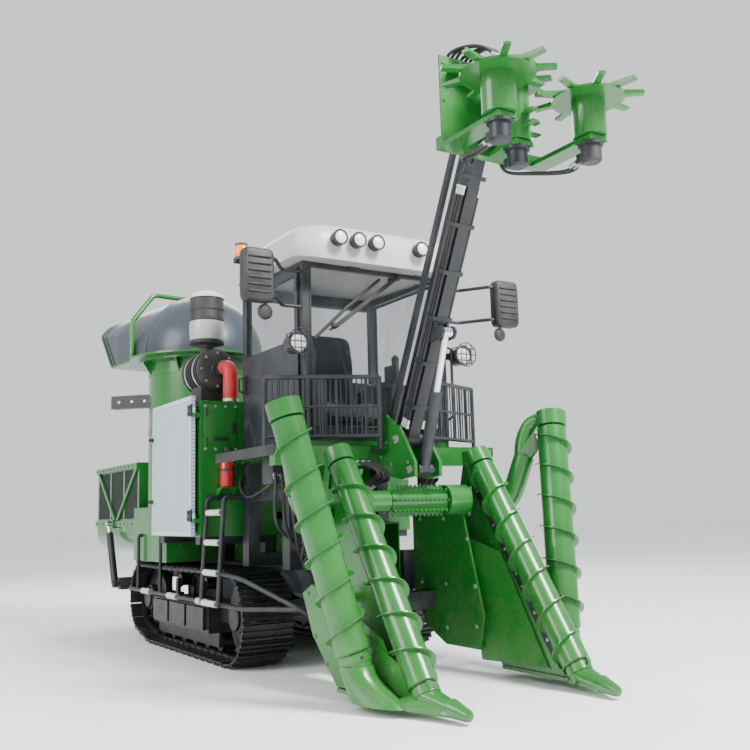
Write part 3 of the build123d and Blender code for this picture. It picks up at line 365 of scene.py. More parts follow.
def bright_rod(name):
    """Chromed cylinder rod or mirror with an oily haze."""
    f = Finish(name)
    return f.set(base_color=(0.78, 0.79, 0.80), metallic=1.0, roughness=f.noise(30.0, 3.0) * 0.10 + 0.06)


def tinted_glass(name):
    """Cab glass with a faint tint, wiped dust and smudges."""
    f = Finish(name)
    smear = f.spots(0.46, 0.80, 3.2, 5.0, 0.6, (1.0, 1.0, 0.35))
    return f.set(
        base_color=f.blend(smear * 0.16, (0.016, 0.032, 0.040), (0.30, 0.33, 0.33)),
        roughness=smear * 0.10 + 0.02, alpha=(smear * 0.10 + 0.14).clamp(), ior=1.5, specular_ior_level=0.75,
        coat_weight=0.5, coat_roughness=0.02)


def moulding(name, base, rough=0.36, streaks=0.25):
    """Weathered roof or hood moulding with rain streaks and pinhead texture."""
    f = Finish(name)
    run = f.spots(0.50, 0.78, 9.0, 4.0, 0.6, (1.0, 1.0, 0.12))
    patch = f.noise(2.4, 4.0)
    body = f.blend(run * streaks, base, shade(base, 0.55, 0.05))
    return f.set(
        base_color=f.blend(f.between(patch, 0.35, 0.75) * 0.30, body, shade(base, 1.3, 0.01)),
        roughness=(run * 0.2 + patch * 0.12 + rough).clamp(), coat_weight=0.15, coat_roughness=0.2,
        normal=f.bump(f.noise(260.0, 2.0), 0.10, 0.0008))


def ribbed_rubber(name, base, pitch=0.016):
    """Hose or sleeve rubber with moulded rings along its upright run."""
    f = Finish(name)
    ring = f.between((f.axis("Z") * (math.tau / pitch)).sin(), -0.4, 0.8)
    dusty = f.spots(0.50, 0.80, 11.0, 5.0)
    return f.set(
        base_color=f.blend(dusty * 0.30, base, (0.30, 0.25, 0.20)), roughness=(dusty * 0.3 + 0.46).clamp(),
        normal=f.bump(ring, 0.35, 0.002, f.bump(f.noise(180.0), 0.1, 0.0008)))


def woven(name, base, threads=2600):
    """Seat cloth: crossed threads with a mottled nap."""
    f = Finish(name)
    warp = (f.axis("X") * threads).sin() * (f.axis("Z") * threads + f.axis("Y") * threads).sin()
    nap = f.between(warp + f.noise(36.0, 5.0), 0.1, 1.2)
    return f.set(
        base_color=f.blend(nap, base, shade(base, 2.1, 0.01)), roughness=0.90, sheen_weight=0.3,
        normal=f.bump(warp, 0.25, 0.0008))


def punched_sheet(name, base, pitch=0.018):
    """Pale painted sheet with staggered rows of small holes."""
    f = Finish(name)
    row = f.axis("Z") / (pitch * 0.866)
    shift = (row.modulo(2.0) > 1.0) * (pitch / 2)
    across = ((f.axis("Y") + shift).modulo(pitch) - pitch / 2) / pitch
    up = row.modulo(1.0) - 0.5
    off = across * across + up * up * 0.75
    hole = 1 - f.between(off, 0.055, 0.085)
    dusty = f.spots(0.45, 0.80, 3.0, 5.0)
    body = f.blend(dusty * 0.35, base, (0.50, 0.49, 0.44))
    return f.set(
        base_color=f.blend(hole, body, (0.060, 0.075, 0.085)), roughness=(dusty * 0.2 + 0.42).clamp(),
        metallic=0.1, normal=f.bump(off, 0.2, 0.001))


def lens(name, base, glow, ribs=420.0):
    """Moulded lamp lens with fine flutes."""
    f = Finish(name)
    flute = (f.axis("X") * ribs).sin() * (f.axis("Z") * ribs).sin()
    fog = f.noise(40.0, 3.0)
    return f.set(
        base_color=f.blend(f.between(fog, 0.3, 0.8) * 0.3, base, shade(base, 0.7)),
        roughness=fog * 0.15 + 0.05, coat_weight=0.8, coat_roughness=0.03, emission_color=base,
        emission_strength=glow, normal=f.bump(flute, 0.35, 0.001))


def clear_bowl(name):
    """Dusty clear plastic of the pre-cleaner's bowl."""
    f = Finish(name)
    fog = f.spots(0.35, 0.75, 14.0, 5.0, 0.6, (1.0, 1.0, 0.4))
    return f.set(
        base_color=f.blend(fog, (0.62, 0.67, 0.68), (0.34, 0.31, 0.27)), roughness=fog * 0.35 + 0.10,
        alpha=(fog * 0.30 + 0.62).clamp(), coat_weight=0.6, coat_roughness=0.06)


FINISH = {}
# The record's slot for each finish that only fittings have
FITTING_SLOTS = {
    "zinc": "bare_steel", "hose_black": "black_plastic", "lamp_lens": "lamp_body",
    "amber_lens": "lamp_body", "red_lens": "lamp_body", "mirror_glass": "chrome_rod",
    "clear_bowl": "window_glass", "screen_frame": "screen_paint",
}


def make_finishes():
    """All the finishes, by the record's slot names and by the fittings' own names."""
    rows = (
        (enamel, "green_paint", tint("green")), (satin, "black_paint", tint("black"), 0.36),
        (track_iron, "track_steel", tint("steel")), (worn_steel, "bare_steel"), (bright_rod, "chrome_rod"),
        (tinted_glass, "window_glass"), (moulding, "roof_plastic", tint("roof")),
        (moulding, "hood_plastic", tint("hood"), 0.28, 0.15),
        (satin, "black_plastic", (0.016, 0.016, 0.018), 0.46, 0.25, 240.0),
        (moulding, "white_plastic", (0.66, 0.64, 0.58), 0.45, 0.6), (ribbed_rubber, "hose_red", tint("red")),
        (woven, "seat_cloth", (0.020, 0.021, 0.024)), (enamel, "bottle_red", tint("red"), 0.18, 0.5, 0.1),
        (punched_sheet, "screen_paint", tint("screen")),
        (satin, "engine_iron", (0.060, 0.060, 0.062), 0.55, 0.4, 120.0, 0.4),
        (satin, "lamp_body", (0.018, 0.018, 0.019), 0.30),
        (satin, "hose_black", (0.010, 0.010, 0.012), 0.50, 0.30, 420.0),
        (lens, "lamp_lens", (0.86, 0.88, 0.90), 0.15), (lens, "amber_lens", (0.90, 0.20, 0.010), 0.25, 260.0),
        (lens, "red_lens", (0.55, 0.010, 0.012), 0.1, 260.0), (bright_rod, "mirror_glass"),
        (clear_bowl, "clear_bowl"), (worn_steel, "zinc", (0.60, 0.60, 0.58), 0.34),
        (enamel, "screen_frame", tint("screen"), 0.40, 0.1, 0.2),
    )
    for make, name, *values in rows:
        FINISH[name] = make(name, *values)


def around(count, first=0.0):
    """Cosine and sine of even turns round a circle; first shifts them by a part of one."""
    return [(math.cos(a), math.sin(a)) for a in (math.tau * (i + first) / count for i in range(count))]


def soft(value, power):
    """Signed power; a small one squares off a round shape."""
    return math.copysign(abs(value) ** power, value)


def spread(first, last, count):
    """Evenly spaced values from first to last."""
    return [first + (last - first) * i / (count - 1) for i in range(count)]


def mirrored(side, *points):
    """Points on the right or left side."""
    return [Vector((side * x, y, z)) for x, y, z in points]


def rounded(points, r, steps=8):
    """Points of a path with its corners eased over a length on each side."""
    points = [Vector(p) for p in points]
    path = [points[0]]
    for before, corner, after in zip(points, points[1:], points[2:]):
        start = corner + (before - corner).normalized() * r
        end = corner + (after - corner).normalized() * r
        path += [start.lerp(corner, t).lerp(corner.lerp(end, t), t) for t in spread(0, 1, steps + 1)]
    return path + [points[-1]]


class Shop:
    """Collects one piece's shapes in a single mesh."""

    def __init__(self, segments=24):
        self.mesh, self.segments = bmesh.new(), segments

    def rings(self, rows, closed=False):
        """Skin over rows of points; each row is a closed ring."""
        rows = [[self.mesh.verts.new(p) for p in row] for row in rows]
        pairs = list(zip(rows, rows[1:]))
        if closed:
            pairs.append((rows[-1], rows[0]))
        made, count = [], len(rows[0])
        for low, high in pairs:
            for i in range(count):
                j = (i + 1) % count
                made.append(self.mesh.faces.new((low[i], low[j], high[j], high[i])))
        if not closed:
            made += [self.mesh.faces.new(rows[0]), self.mesh.faces.new(rows[-1])]
        bmesh.ops.recalc_face_normals(self.mesh, faces=made)

    def turned(self, start, along, profile, closed=False):
        """Turned shape: profile rows give distance along and radius; a closed one makes a ring."""
        start, along = Vector(start), Vector(along).normalized()
        side = along.orthogonal().normalized()
        up = along.cross(side)
        self.rings([[start + along * d + (side * c + up * s) * max(r, 1e-4) for c, s in around(self.segments)]
                    for d, r in profile], closed)

    def band(self, start, along, inner, outer, wide):
        """Flat ring round a line."""
        self.turned(start, along, ((0, inner), (0, outer), (wide, outer), (wide, inner)), True)

    def rod(self, start, end, r):
        along = Vector(end) - Vector(start)
        self.turned(start, along, ((0, r), (along.length, r)))

    def pipe(self, points, r, sides=10):
        """Round tube through points, turned evenly from one to the next."""
        points = [Vector(p) for p in points]
        rows, side = [], None
        for i, p in enumerate(points):
            along = (points[min(i + 1, len(points) - 1)] - points[max(i - 1, 0)]).normalized()
            side = side or along.orthogonal()
            side = (side - along * side.dot(along)).normalized()
            up = along.cross(side)
            rows.append([p + (side * c + up * s) * r for c, s in around(sides)])
        self.rings(rows)

    def slab(self, low, high, bevel):
        """Box between two corners, with its edges rounded."""
        low, high = Vector(low), Vector(high)
        made = bmesh.ops.create_cube(self.mesh, size=1.0)["verts"]
        bmesh.ops.scale(self.mesh, vec=high - low, verts=made)
        bmesh.ops.translate(self.mesh, vec=(low + high) / 2, verts=made)
        edges = list({e for v in made for e in v.link_edges})
        bmesh.ops.bevel(self.mesh, geom=edges, offset=bevel, segments=2, affect="EDGES", profile=0.6)

    def pillow(self, low, high, square, steps=18):
        """Stuffed pad that fills a box; a small power keeps it square."""
        low, high = Vector(low), Vector(high)
        middle, half = (low + high) / 2, (high - low) / 2
        rows = []
        for i in range(1, steps):
            tilt = math.pi * (i / steps - 0.5)
            wide, tall = soft(math.cos(tilt), square), soft(math.sin(tilt), square)
            rows.append([middle + Vector((half.x * wide * soft(c, square), half.y * wide * soft(s, square),
                                          half.z * tall)) for c, s in around(2 * steps)])
        self.rings(rows)

    def hull(self, points):
        """Faceted shape round points."""
        made = [self.mesh.verts.new(p) for p in points]
        found = bmesh.ops.convex_hull(self.mesh, input=made)
        inside = [v for v in made if v.is_valid and not v.link_faces]
        bmesh.ops.delete(self.mesh, geom=inside, context="VERTS")
        faces = [f for f in found["geom"] if isinstance(f, bmesh.types.BMFace) and f.is_valid]
        bmesh.ops.recalc_face_normals(self.mesh, faces=faces)

    def plate(self, outline, push):
        """Flat plate: outline points in space, pushed by a vector."""
        outline = [Vector(p) for p in outline]
        self.rings([outline, [p + Vector(push) for p in outline]])

    def data(self, name):
        """The shapes as plain mesh data."""
        data = bpy.data.meshes.new(name)
        self.mesh.to_mesh(data)
        self.mesh.free()
        return data

    def finish(self, name, material, body="chassis", **more):
        """Turn the shapes into one piece that rides on a body."""
        return piece(name, self.data(name), material, body, **more)


def placed(name, data):
    """Object that is linked to the scene."""
    made = bpy.data.objects.new(name, data)
    bpy.context.scene.collection.objects.link(made)
    return made


def piece(name, data, material, body, slot=None, angle=35, replaces=()):
    """Object at the origin with a finish, smooth up to an angle, riding on a body."""
    data.name = name
    if not data.materials:
        data.materials.append(FINISH[material])
    data.shade_smooth()
    data.set_sharp_from_angle(angle=math.radians(angle))
    made = placed(name, data)
    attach(made, body)
    if replaces:
        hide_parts(*replaces)
    slot = slot or FITTING_SLOTS.get(material)
    return made


class Growth(Graph):
    """A Geometry Nodes tree with named inputs that ends in Realize Instances and Set Material."""

    def __init__(self, name, **inputs):
        super().__init__(bpy.data.node_groups.new(name, "GeometryNodeTree"))
        self.ids = {}
        self.socket("Geometry", "Geometry", "OUTPUT")
        for key, kind in {"Geometry": "Geometry", **inputs}.items():
            self.ids[key] = self.socket(key, kind, "INPUT").identifier
        self.source = self.tree.nodes.new("NodeGroupInput")

    def socket(self, key, kind, way):
        return self.tree.interface.new_socket(key, in_out=way, socket_type="NodeSocket" + kind)

    def given(self, key="Geometry"):
        return Field(self, self.source.outputs[key])

    def aim(self):
        """The direction that each seed point's fitting faces."""
        return self.node("GeometryNodeInputNamedAttribute", {"Name": "aim"}, data_type="FLOAT_VECTOR")

    def facing(self, vector, axis, pivot="AUTO", after=None):
        """Rotation that turns an axis to a vector, on top of another rotation if one is given."""
        inputs = {"Vector": vector}
        if after:
            inputs["Rotation"] = after
        return self.node("FunctionNodeAlignRotationToVector", inputs, axis=axis, pivot_axis=pivot)

    def copies(self, points, shape, rotation, material, **more):
        """End the tree with a shape's copies on points; an object is taken as a shape too."""
        if not isinstance(shape, Field):
            shape = self.node("GeometryNodeObjectInfo", {"Object": shape}, "Geometry")
        self.end(self.node("GeometryNodeInstanceOnPoints", {
            "Points": points, "Instance": shape, "Rotation": rotation, **more}), material)

    def end(self, geometry, material):
        whole = self.node("GeometryNodeRealizeInstances", {0: geometry})
        dressed = self.node("GeometryNodeSetMaterial", {"Geometry": whole, "Material": FINISH[material]})
        self.tree.links.new(dressed.socket, self.tree.nodes.new("NodeGroupOutput").inputs[0])

    def grow(self, seed, **values):
        """Plain mesh that the tree makes from a seed mesh."""
        carrier = placed("seed", seed)
        modifier = carrier.modifiers.new("growth", "NODES")
        modifier.node_group = self.tree
        for key, value in values.items():
            modifier[self.ids[key]] = value
        ready = carrier.evaluated_get(bpy.context.evaluated_depsgraph_get())
        data = bpy.data.meshes.new_from_object(ready)
        bpy.data.objects.remove(carrier)
        return data


def seed_points(places):
    """Mesh of loose points, each with the direction that its fitting faces."""
    data = bpy.data.meshes.new("places")
    data.from_pydata([tuple(p) for p, _ in places], [], [])
    aim = data.attributes.new("aim", "FLOAT_VECTOR", "POINT")
    aim.data.foreach_set("vector", [c for _, d in places for c in Vector(d).normalized()])
    return data


def seed_runs(runs):
    """Mesh of open or closed chains of edges; a run's last item says if it closes."""
    points, edges = [], []
    for run, closes in runs:
        first = len(points)
        points += [tuple(p) for p in run]
        edges += [(first + i, first + i + 1) for i in range(len(run) - 1)]
        if closes:
            edges.append((len(points) - 1, first))
    data = bpy.data.meshes.new("runs")
    data.from_pydata(points, edges, [])
    return data


def grown_bolts(name, places, body="chassis", material="zinc", radius=None):
    """Hexagon bolt heads on washers at points that face outwards."""
    tree = Growth(name + "_nodes", Radius="Float", Height="Float")
    r, high = tree.given("Radius"), tree.given("Height")
    head = tree.node("GeometryNodeMeshCylinder", {"Vertices": 6, "Radius": r, "Depth": high})
    washer = tree.node("GeometryNodeMeshCylinder", {"Vertices": 12, "Radius": r * 1.55, "Depth": high * 0.4})
    both = tree.node("GeometryNodeJoinGeometry", {0: head})
    tree.tree.links.new(washer.socket, both.socket.node.inputs[0])
    spots = tree.node("GeometryNodeMeshToPoints", {0: tree.given()})
    tree.copies(spots, both, tree.facing(tree.aim(), "Z"), material)
    radius = radius or sizes().bolt
    data = tree.grow(seed_points(places), Radius=radius, Height=radius * 1.1)
    piece(name, data, material, body, angle=30)


def grown_wires(name, runs, radius, body="chassis", material="black_paint", sides=8, smooth=0, replaces=()):
    """Round wires or hoses along chains of points, smoothed into curves where asked."""
    tree = Growth(name + "_nodes", Radius="Float")
    line = tree.node("GeometryNodeMeshToCurve", {0: tree.given()})
    if smooth:
        line = tree.node("GeometryNodeCurveSplineType", {0: line}, spline_type="CATMULL_ROM")
        line = tree.node("GeometryNodeSetSplineResolution", {0: line, "Resolution": smooth})
    ring = tree.node(
        "GeometryNodeCurvePrimitiveCircle", {"Resolution": sides, "Radius": tree.given("Radius")})
    skin = tree.node("GeometryNodeCurveToMesh", {"Curve": line, "Profile Curve": ring, "Fill Caps": True})
    tree.end(skin, material)
    piece(name, tree.grow(seed_runs(runs), Radius=radius), material, body, angle=60, replaces=replaces)


def grown_copies(name, places, shop, material):
    """Copies of one small shape, set at points and turned to face outwards."""
    one = placed(name + "_one", shop.data(name + "_one"))
    tree = Growth(name + "_nodes", Scale="Float")
    upright = tree.facing((0.0, 0.0, 1.0), "Y")
    spots = tree.node("GeometryNodeMeshToPoints", {0: tree.given()})
    facing = tree.facing(tree.aim(), "Z", "Y", upright)
    tree.copies(spots, one, facing, material, Scale=tree.given("Scale"))
    piece(name, tree.grow(seed_points(places), Scale=1.0), material, "chassis")
    bpy.data.objects.remove(one)


def hoses(name, runs, body="chassis", radius=None):
    """Hydraulic hoses through points, with a plated ferrule and nut at each end."""
    radius = radius or sizes().hose
    grown_wires(name, [(run, False) for run in runs], radius, body, "hose_black", smooth=8)
    ferrule = [(d, radius * k) for d, k in (
        (-0.004, 0.9), (0.0, 1.45), (0.018, 1.45), (0.020, 1.18), (0.060, 1.18), (0.062, 0.9))]
    shop = Shop(12)
    for run in runs:
        for end, inside in ((run[0], run[1]), (run[-1], run[-2])):
            shop.turned(end, Vector(inside) - Vector(end), ferrule)
    shop.finish(name + "_ferrules", "zinc", body)


def hood_half(along, high):
    """Half width of the hood at a distance along it and a height above its foot."""
    along = min(max(along, 0.0), HOOD_SECTIONS[-1][0])
    low, far = next((a, b) for a, b in zip(HOOD_SECTIONS, HOOD_SECTIONS[1:]) if along <= b[0])
    t = (along - low[0]) / (far[0] - low[0])
    half, straight, top = (a + (b - a) * t for a, b in zip(low[1:], far[1:]))
    if high <= straight:
        return half
    rise = top - straight
    r = (half * half + rise * rise) / (2 * rise)
    return math.sqrt(max(r * r - (high - top + r) ** 2, 0.0))


def hull_line(circles, steps=720):
    """Belt round circles: for each direction, the farthest point of the farthest circle."""
    points = []
    for u in map(Vector, around(steps)):
        centre, r = max(circles, key=lambda c: Vector(c[0]).dot(u) + c[1])
        points.append(Vector(centre) + u * r)
    return points


def shoe_mesh(wide, pitch):
    """One track shoe: plate, three grousers, link pads, pins and bolts."""
    shop = Shop(8)
    half, long, foot, tip = wide / 2, pitch * 0.94, 0.011, 0.006
    shop.slab((-half, -long / 2, -0.014), (half, long / 2, 0.0), 0.003)
    for at, high in ((-0.36, 0.020), (0.0, 0.012), (0.36, 0.020)):
        y = at * long
        edge = ((y - foot, -0.002), (y + foot, -0.002), (y + tip, high), (y - tip, high))
        shop.rings([[(x, *p) for p in edge] for x in (-half, half)])
    for x in (-0.075, 0.075):
        shop.slab((x - 0.022, -long * 0.52, -PLATE_UNDER), (x + 0.022, long * 0.52, -0.013), 0.004)
        shop.rod((x - 0.03, -long * 0.44, -0.027), (x + 0.03, -long * 0.44, -0.027), 0.010)
        for y in (-0.034, 0.034):
            shop.rod((x, y, -0.001), (x, y, 0.007), 0.010)
    return shop.data("shoe")


class HARVESTER_OT_finishes(bpy.types.Operator):
    """Make the finishes and put them on the solids"""
    bl_idname = "harvester.finishes"
    bl_label = "Finishes"

    def execute(self, context):
        make_finishes()
        for row in frame["record"]["subparts"]:
            solid = frame["nodes"][row["node"]]
            finish = FINISH["green_paint" if row["node"] == "topper_rotor" else row["material_slot"]]
            if not solid.material_slots:
                solid.data.materials.append(finish)
            for slot in solid.material_slots:
                slot.material = finish
        return {"FINISHED"}


class HARVESTER_OT_tracks(bpy.types.Operator):
    """Crawler tracks: shoes on their chains, wheels, rollers and guards"""
    bl_idname = "harvester.tracks"
    bl_label = "Tracks"

    def execute(self, context):
        belt = hull_line((IDLER, END_ROLLER, SPROCKET))
        run = sum((b - a).length for a, b in zip(belt, belt[1:] + belt[:1]))
        count = round(run / sizes().shoe_pitch)
        shoe = placed("shoe", shoe_mesh(TRACK_X[1] - TRACK_X[0], run / count))
        for name, side in SIDES.items():
            x = side * sum(TRACK_X) / 2
            tree = Growth("track_nodes", Count="Int")
            line = tree.node("GeometryNodeMeshToCurve", {0: tree.given()})
            even = tree.node("GeometryNodeResampleCurve", {"Curve": line, "Count": tree.given("Count")})
            way = tree.node("GeometryNodeInputTangent")
            tree.copies(even, shoe, tree.facing(way, "Y", "X"), "track_steel")
            chain = [(x, y, z) for y, z in reversed(belt)]
            data = tree.grow(seed_runs([(chain, True)]), Count=count)
            for vertex in data.vertices:
                vertex.co.z = max(vertex.co.z, GROUND_GAP)
            piece(f"track_shoes_{name}", data, "track_steel", "chassis", replaces=(f"track_{name}",))
        bpy.data.objects.remove(shoe)
        self.wheels()
        self.guards()
        return {"FINISHED"}

    def wheels(self):
        """Idlers, sprockets, flanged rollers and hub covers."""
        shop = Shop(32)
        hub = ((0, 0.12), (0.045, 0.12), (0.055, 0.10), (0.075, 0.095), (0.080, 0.05))
        lower = [(y, 0.1323, 0.070) for y in spread(0.180, END_ROLLER[0][0], 6)]
        for side in SIDES.values():
            near, far = (side * x for x in WHEEL_X)
            for (y, z), r in (IDLER, SPROCKET):
                r -= PLATE_UNDER + 0.002
                shop.turned((near, y, z), X * side, (
                    (0, r * 0.30), (0, r - 0.09), (0.02, r - 0.06), (0.02, r - 0.012), (0.030, r), (0.090, r),
                    (0.100, r - 0.012), (0.100, r - 0.06), (0.120, r - 0.09), (0.120, r * 0.30)))
                shop.turned((far, y, z), X * side, hub)
            for y, z, r in (*lower, (0.520, 0.590, 0.060), (1.150, 0.590, 0.060)):
                shop.turned((near, y, z), X * side, (
                    (0, r * 0.5), (0, r), (0.016, r), (0.022, r * 0.8), (0.098, r * 0.8), (0.104, r),
                    (0.120, r), (0.120, r * 0.5)))
        shop.finish("track_rollers", "track_steel", replaces=("track_wheels",))

    def guards(self):
        """Inner web plates in the track loops, and the upper rail in front of the ladder."""
        shop = Shop(16)
        for side in SIDES.values():
            shop.plate([(side * 0.478, y, z) for y, z in WEB_OUTLINE], X * side * SHEET)
        shop.pipe(rounded(LADDER_LOOP, 0.09), 0.018, 16)
        shop.finish("track_guards", "black_paint")


class HARVESTER_OT_dividers(bpy.types.Operator):
    """Crop dividers: wall panels, wear strips, shoes, boots, arm sleeves, auger tubes and bolts"""
    bl_idname = "harvester.dividers"
    bl_label = "Crop dividers"

    def execute(self, context):
        for name, side in SIDES.items():
            body, inner, across = f"divider_{name}", side * DIVIDER_INNER, X * -side
            sheet, strip, bolts, plated = Shop(), Shop(), [], []
            for outline in WALL_PANELS:
                sheet.plate([(inner, y, z) for y, z in outline], across * SHEET)
                bolts += self.edge_bolts(outline, inner - side * SHEET, across)
            top, low = (Vector(p) for p in WEAR_STRIP)
            down = (low - top).normalized()
            back = Vector((down.y, -down.x))
            corners = (top + back * 0.006, low + back * 0.006, low + back * 0.072, top + back * 0.072)
            strip.plate([(inner, *c) for c in corners], across * STRIP)
            for t in spread(0.03, 0.97, 14):
                plated.append(((inner - side * 0.011, *(top.lerp(low, t) + back * 0.038)), across))
            bolts += self.skirt(sheet, side)
            sheet.hull(mirrored(side, *NOSE_SHOE))
            self.boot(sheet, side)
            sheet.plate(mirrored(side, *THROAT_SHEET), X * side * SHEET)
            for path, ease, r in ((ARM_PATH, 0.16, 0.080), (ARM_CROOK, 0.06, 0.064)):
                sheet.pipe(rounded(mirrored(side, *path), ease), r, 20)
            self.nose(sheet, strip, side)
            for place, (foot, head, core) in AUGERS.items():
                foot, head = mirrored(side, foot, head)
                tube, r, end = Shop(40), core + 0.015, (head - foot).length - 0.006
                tube.turned(foot, head - foot, (
                    (0.006, core - 0.004), (0.006, r - 0.004), (0.010, r), (end - 0.004, r), (end, r - 0.004),
                    (end, core - 0.004)), True)
                tube.finish(f"{place}_tube_{name}", "green_paint", f"{place}_auger_{name}")
            sheet.finish(f"divider_panels_{name}", "green_paint", body)
            # This piece also holds the collars' black discs of painted hole shade
            strip.finish(f"divider_strip_{name}", "black_paint", body)
            grown_bolts(f"divider_bolts_{name}", bolts, body, "green_paint")
            grown_bolts(f"strip_bolts_{name}", plated, body, radius=0.008)
        return {"FINISHED"}

    def edge_bolts(self, outline, x, out):
        """Bolts a little way inside a panel's edges."""
        middle = sum((Vector(p) for p in outline), Vector((0, 0))) / len(outline)
        places = []
        for a, b in zip(outline, outline[1:] + outline[:1]):
            for t in (0.12, 0.50, 0.88):
                at = Vector(a).lerp(Vector(b), t)
                places.append(((x, *(at + (middle - at).normalized() * 0.030)), out))
        return places

    def skirt(self, shop, side):
        """Raised inset on the outer skirt, and its bolts."""
        along = Vector((side * 0.190, 1.050, 0)).normalized()
        out = Vector((side * along.y, -abs(along.x), 0))
        face = Vector((side * 0.610, -2.700, 0)) + out * 0.0121
        inset = ((0.080, 0.090), (0.080, 0.190), (0.690, 0.500), (1.050, 0.630), (1.110, 0.600),
                 (1.020, 0.390), (0.800, 0.110))
        rim = ((0.04, 0.09), (0.30, 0.335), (0.60, 0.490), (0.86, 0.600), (1.12, 0.640), (1.05, 0.37),
               (0.93, 0.205), (0.60, 0.075), (0.30, 0.070))
        shop.plate([face + along * u + Z * v for u, v in inset], out * 0.005)
        return [(face + along * u + Z * v, out) for u, v in rim]

    def boot(self, shop, side):
        """Smooth boot from the outer auger's foot down to the skirt's lower edge."""
        along, across = Vector((side * 0.178, 0.984, 0)), Vector((side * 0.984, -0.178, 0))
        rows = []
        for centre, long, wide in FOOT_BOOT:
            (middle,) = mirrored(side, centre)
            rows.append([middle + along * long * c + across * wide * s for c, s in around(32)])
        shop.rings(rows)

    def nose(self, shop, painted_hole_shade, side):
        """Tip on the nose cone, and a collar under each auger with a black disc of painted shade where its
        hole is.
        """
        tip, root = mirrored(side, NOSE_TIP, NOSE_ROOT)
        shop.turned(tip, root - tip, (
            (-0.010, 0.012), (0.0, 0.029), (0.014, 0.034), (0.150, 0.055), (0.152, 0.045)))
        for low, top, core in AUGERS.values():
            low, top = mirrored(side, low, top)
            axis = (top - low).normalized()
            shop.band(low - axis * 0.058, axis, core, core + 0.006, 0.044)
            front, spot = (-Y + axis * axis.y).normalized(), low - axis * 0.036
            # Black disc standing out on the collar: painted shade of the collar's hole
            painted_hole_shade.rod(spot + front * (core - 0.004), spot + front * (core + 0.008), 0.012)


class HARVESTER_OT_intake(bpy.types.Operator):
    """Knockdown roller with toothed bars, its motors, and the hoses under the deck"""
    bl_idname = "harvester.intake"
    bl_label = "Crop intake"

    def execute(self, context):
        self.roller()
        (y, z), motors, places = ROLLER_AT, Shop(28), []
        wall = ((-1.42, 0.30), (-1.78, 0.34), (-1.78, 0.62), (-1.70, 0.95), (-1.42, 0.62), (-1.10, 0.62),
                (-1.10, 1.10), (-1.42, 1.10))
        for side in SIDES.values():
            motors.turned((side * 0.446, y, z), X * side, [(0.038 * d, 0.046 * k) for d, k in (
                (0, 1.22), (0.14, 1.22), (0.17, 1), (0.70, 1), (0.75, 0.84), (0.95, 0.84), (1, 0.62))])
            places += [((side * 0.4515, y + 0.051 * c, z + 0.051 * s), X * side) for c, s in around(6)]
            places += [((side * 0.424, *at), X * -side) for at in wall]
        motors.slab((-0.860, -1.150, 1.380), (-0.600, -0.960, 1.578), 0.010)
        motors.finish("roller_motors", "black_paint")
        grown_bolts("intake_bolts", places)
        drop = []
        for i in range(5):
            x, y = -0.840 + i * 0.052, -1.152
            drop.append((
                (x, y, 1.45), (x - 0.03, y - 0.07, 1.40), (x - 0.02 + i * 0.02, y - 0.06, 1.10 - i * 0.03),
                (-0.62 + i * 0.01, -1.06, 0.95 - i * 0.04), (-0.455, -1.03, 0.92 - i * 0.05)))
        drop.append((
            (-0.70, -0.958, 1.47), (-0.72, -0.85, 1.40), (-0.80, -0.60, 1.30), (-0.75, -0.30, 1.40),
            (-0.62, -0.10, 1.52)))
        hoses("deck_hoses", drop)
        return {"FINISHED"}

    def roller(self, teeth=13, bars=8, stub=0.08, shaft=0.025):
        """Roller core on its shaft, with toothed bars round it."""
        half, root, notch = ROLLER_HALF, ROLLER_R - 0.006, TOOTH_R - 0.020
        middle, wide, shop = Vector((0, *ROLLER_AT)), 2 * ROLLER_HALF, Shop(32)
        shop.turned(middle - X * (half + stub), X, (
            (0, shaft), (stub, shaft), (stub, ROLLER_R), (stub + wide, ROLLER_R), (stub + wide, shaft),
            (2 * stub + wide, shaft)))
        edge = [(-half, root)]
        for i in range(teeth):
            for part, r in ((0.0, notch), (0.30, TOOTH_R), (0.60, TOOTH_R), (0.90, notch)):
                edge.append((-half + wide * (i + part) / teeth, r))
        edge += [(half, notch), (half, root)]
        for c, s in around(bars):
            out, side = Vector((0, c, s)), Vector((0, -s, c))
            shop.plate([middle - side * 0.005 + X * along + out * r for along, r in edge], side * 0.010)
        shop.finish("roller_bars", "green_paint", "knockdown_roller", slot="bare_steel",
                    replaces=("knockdown_roller",))


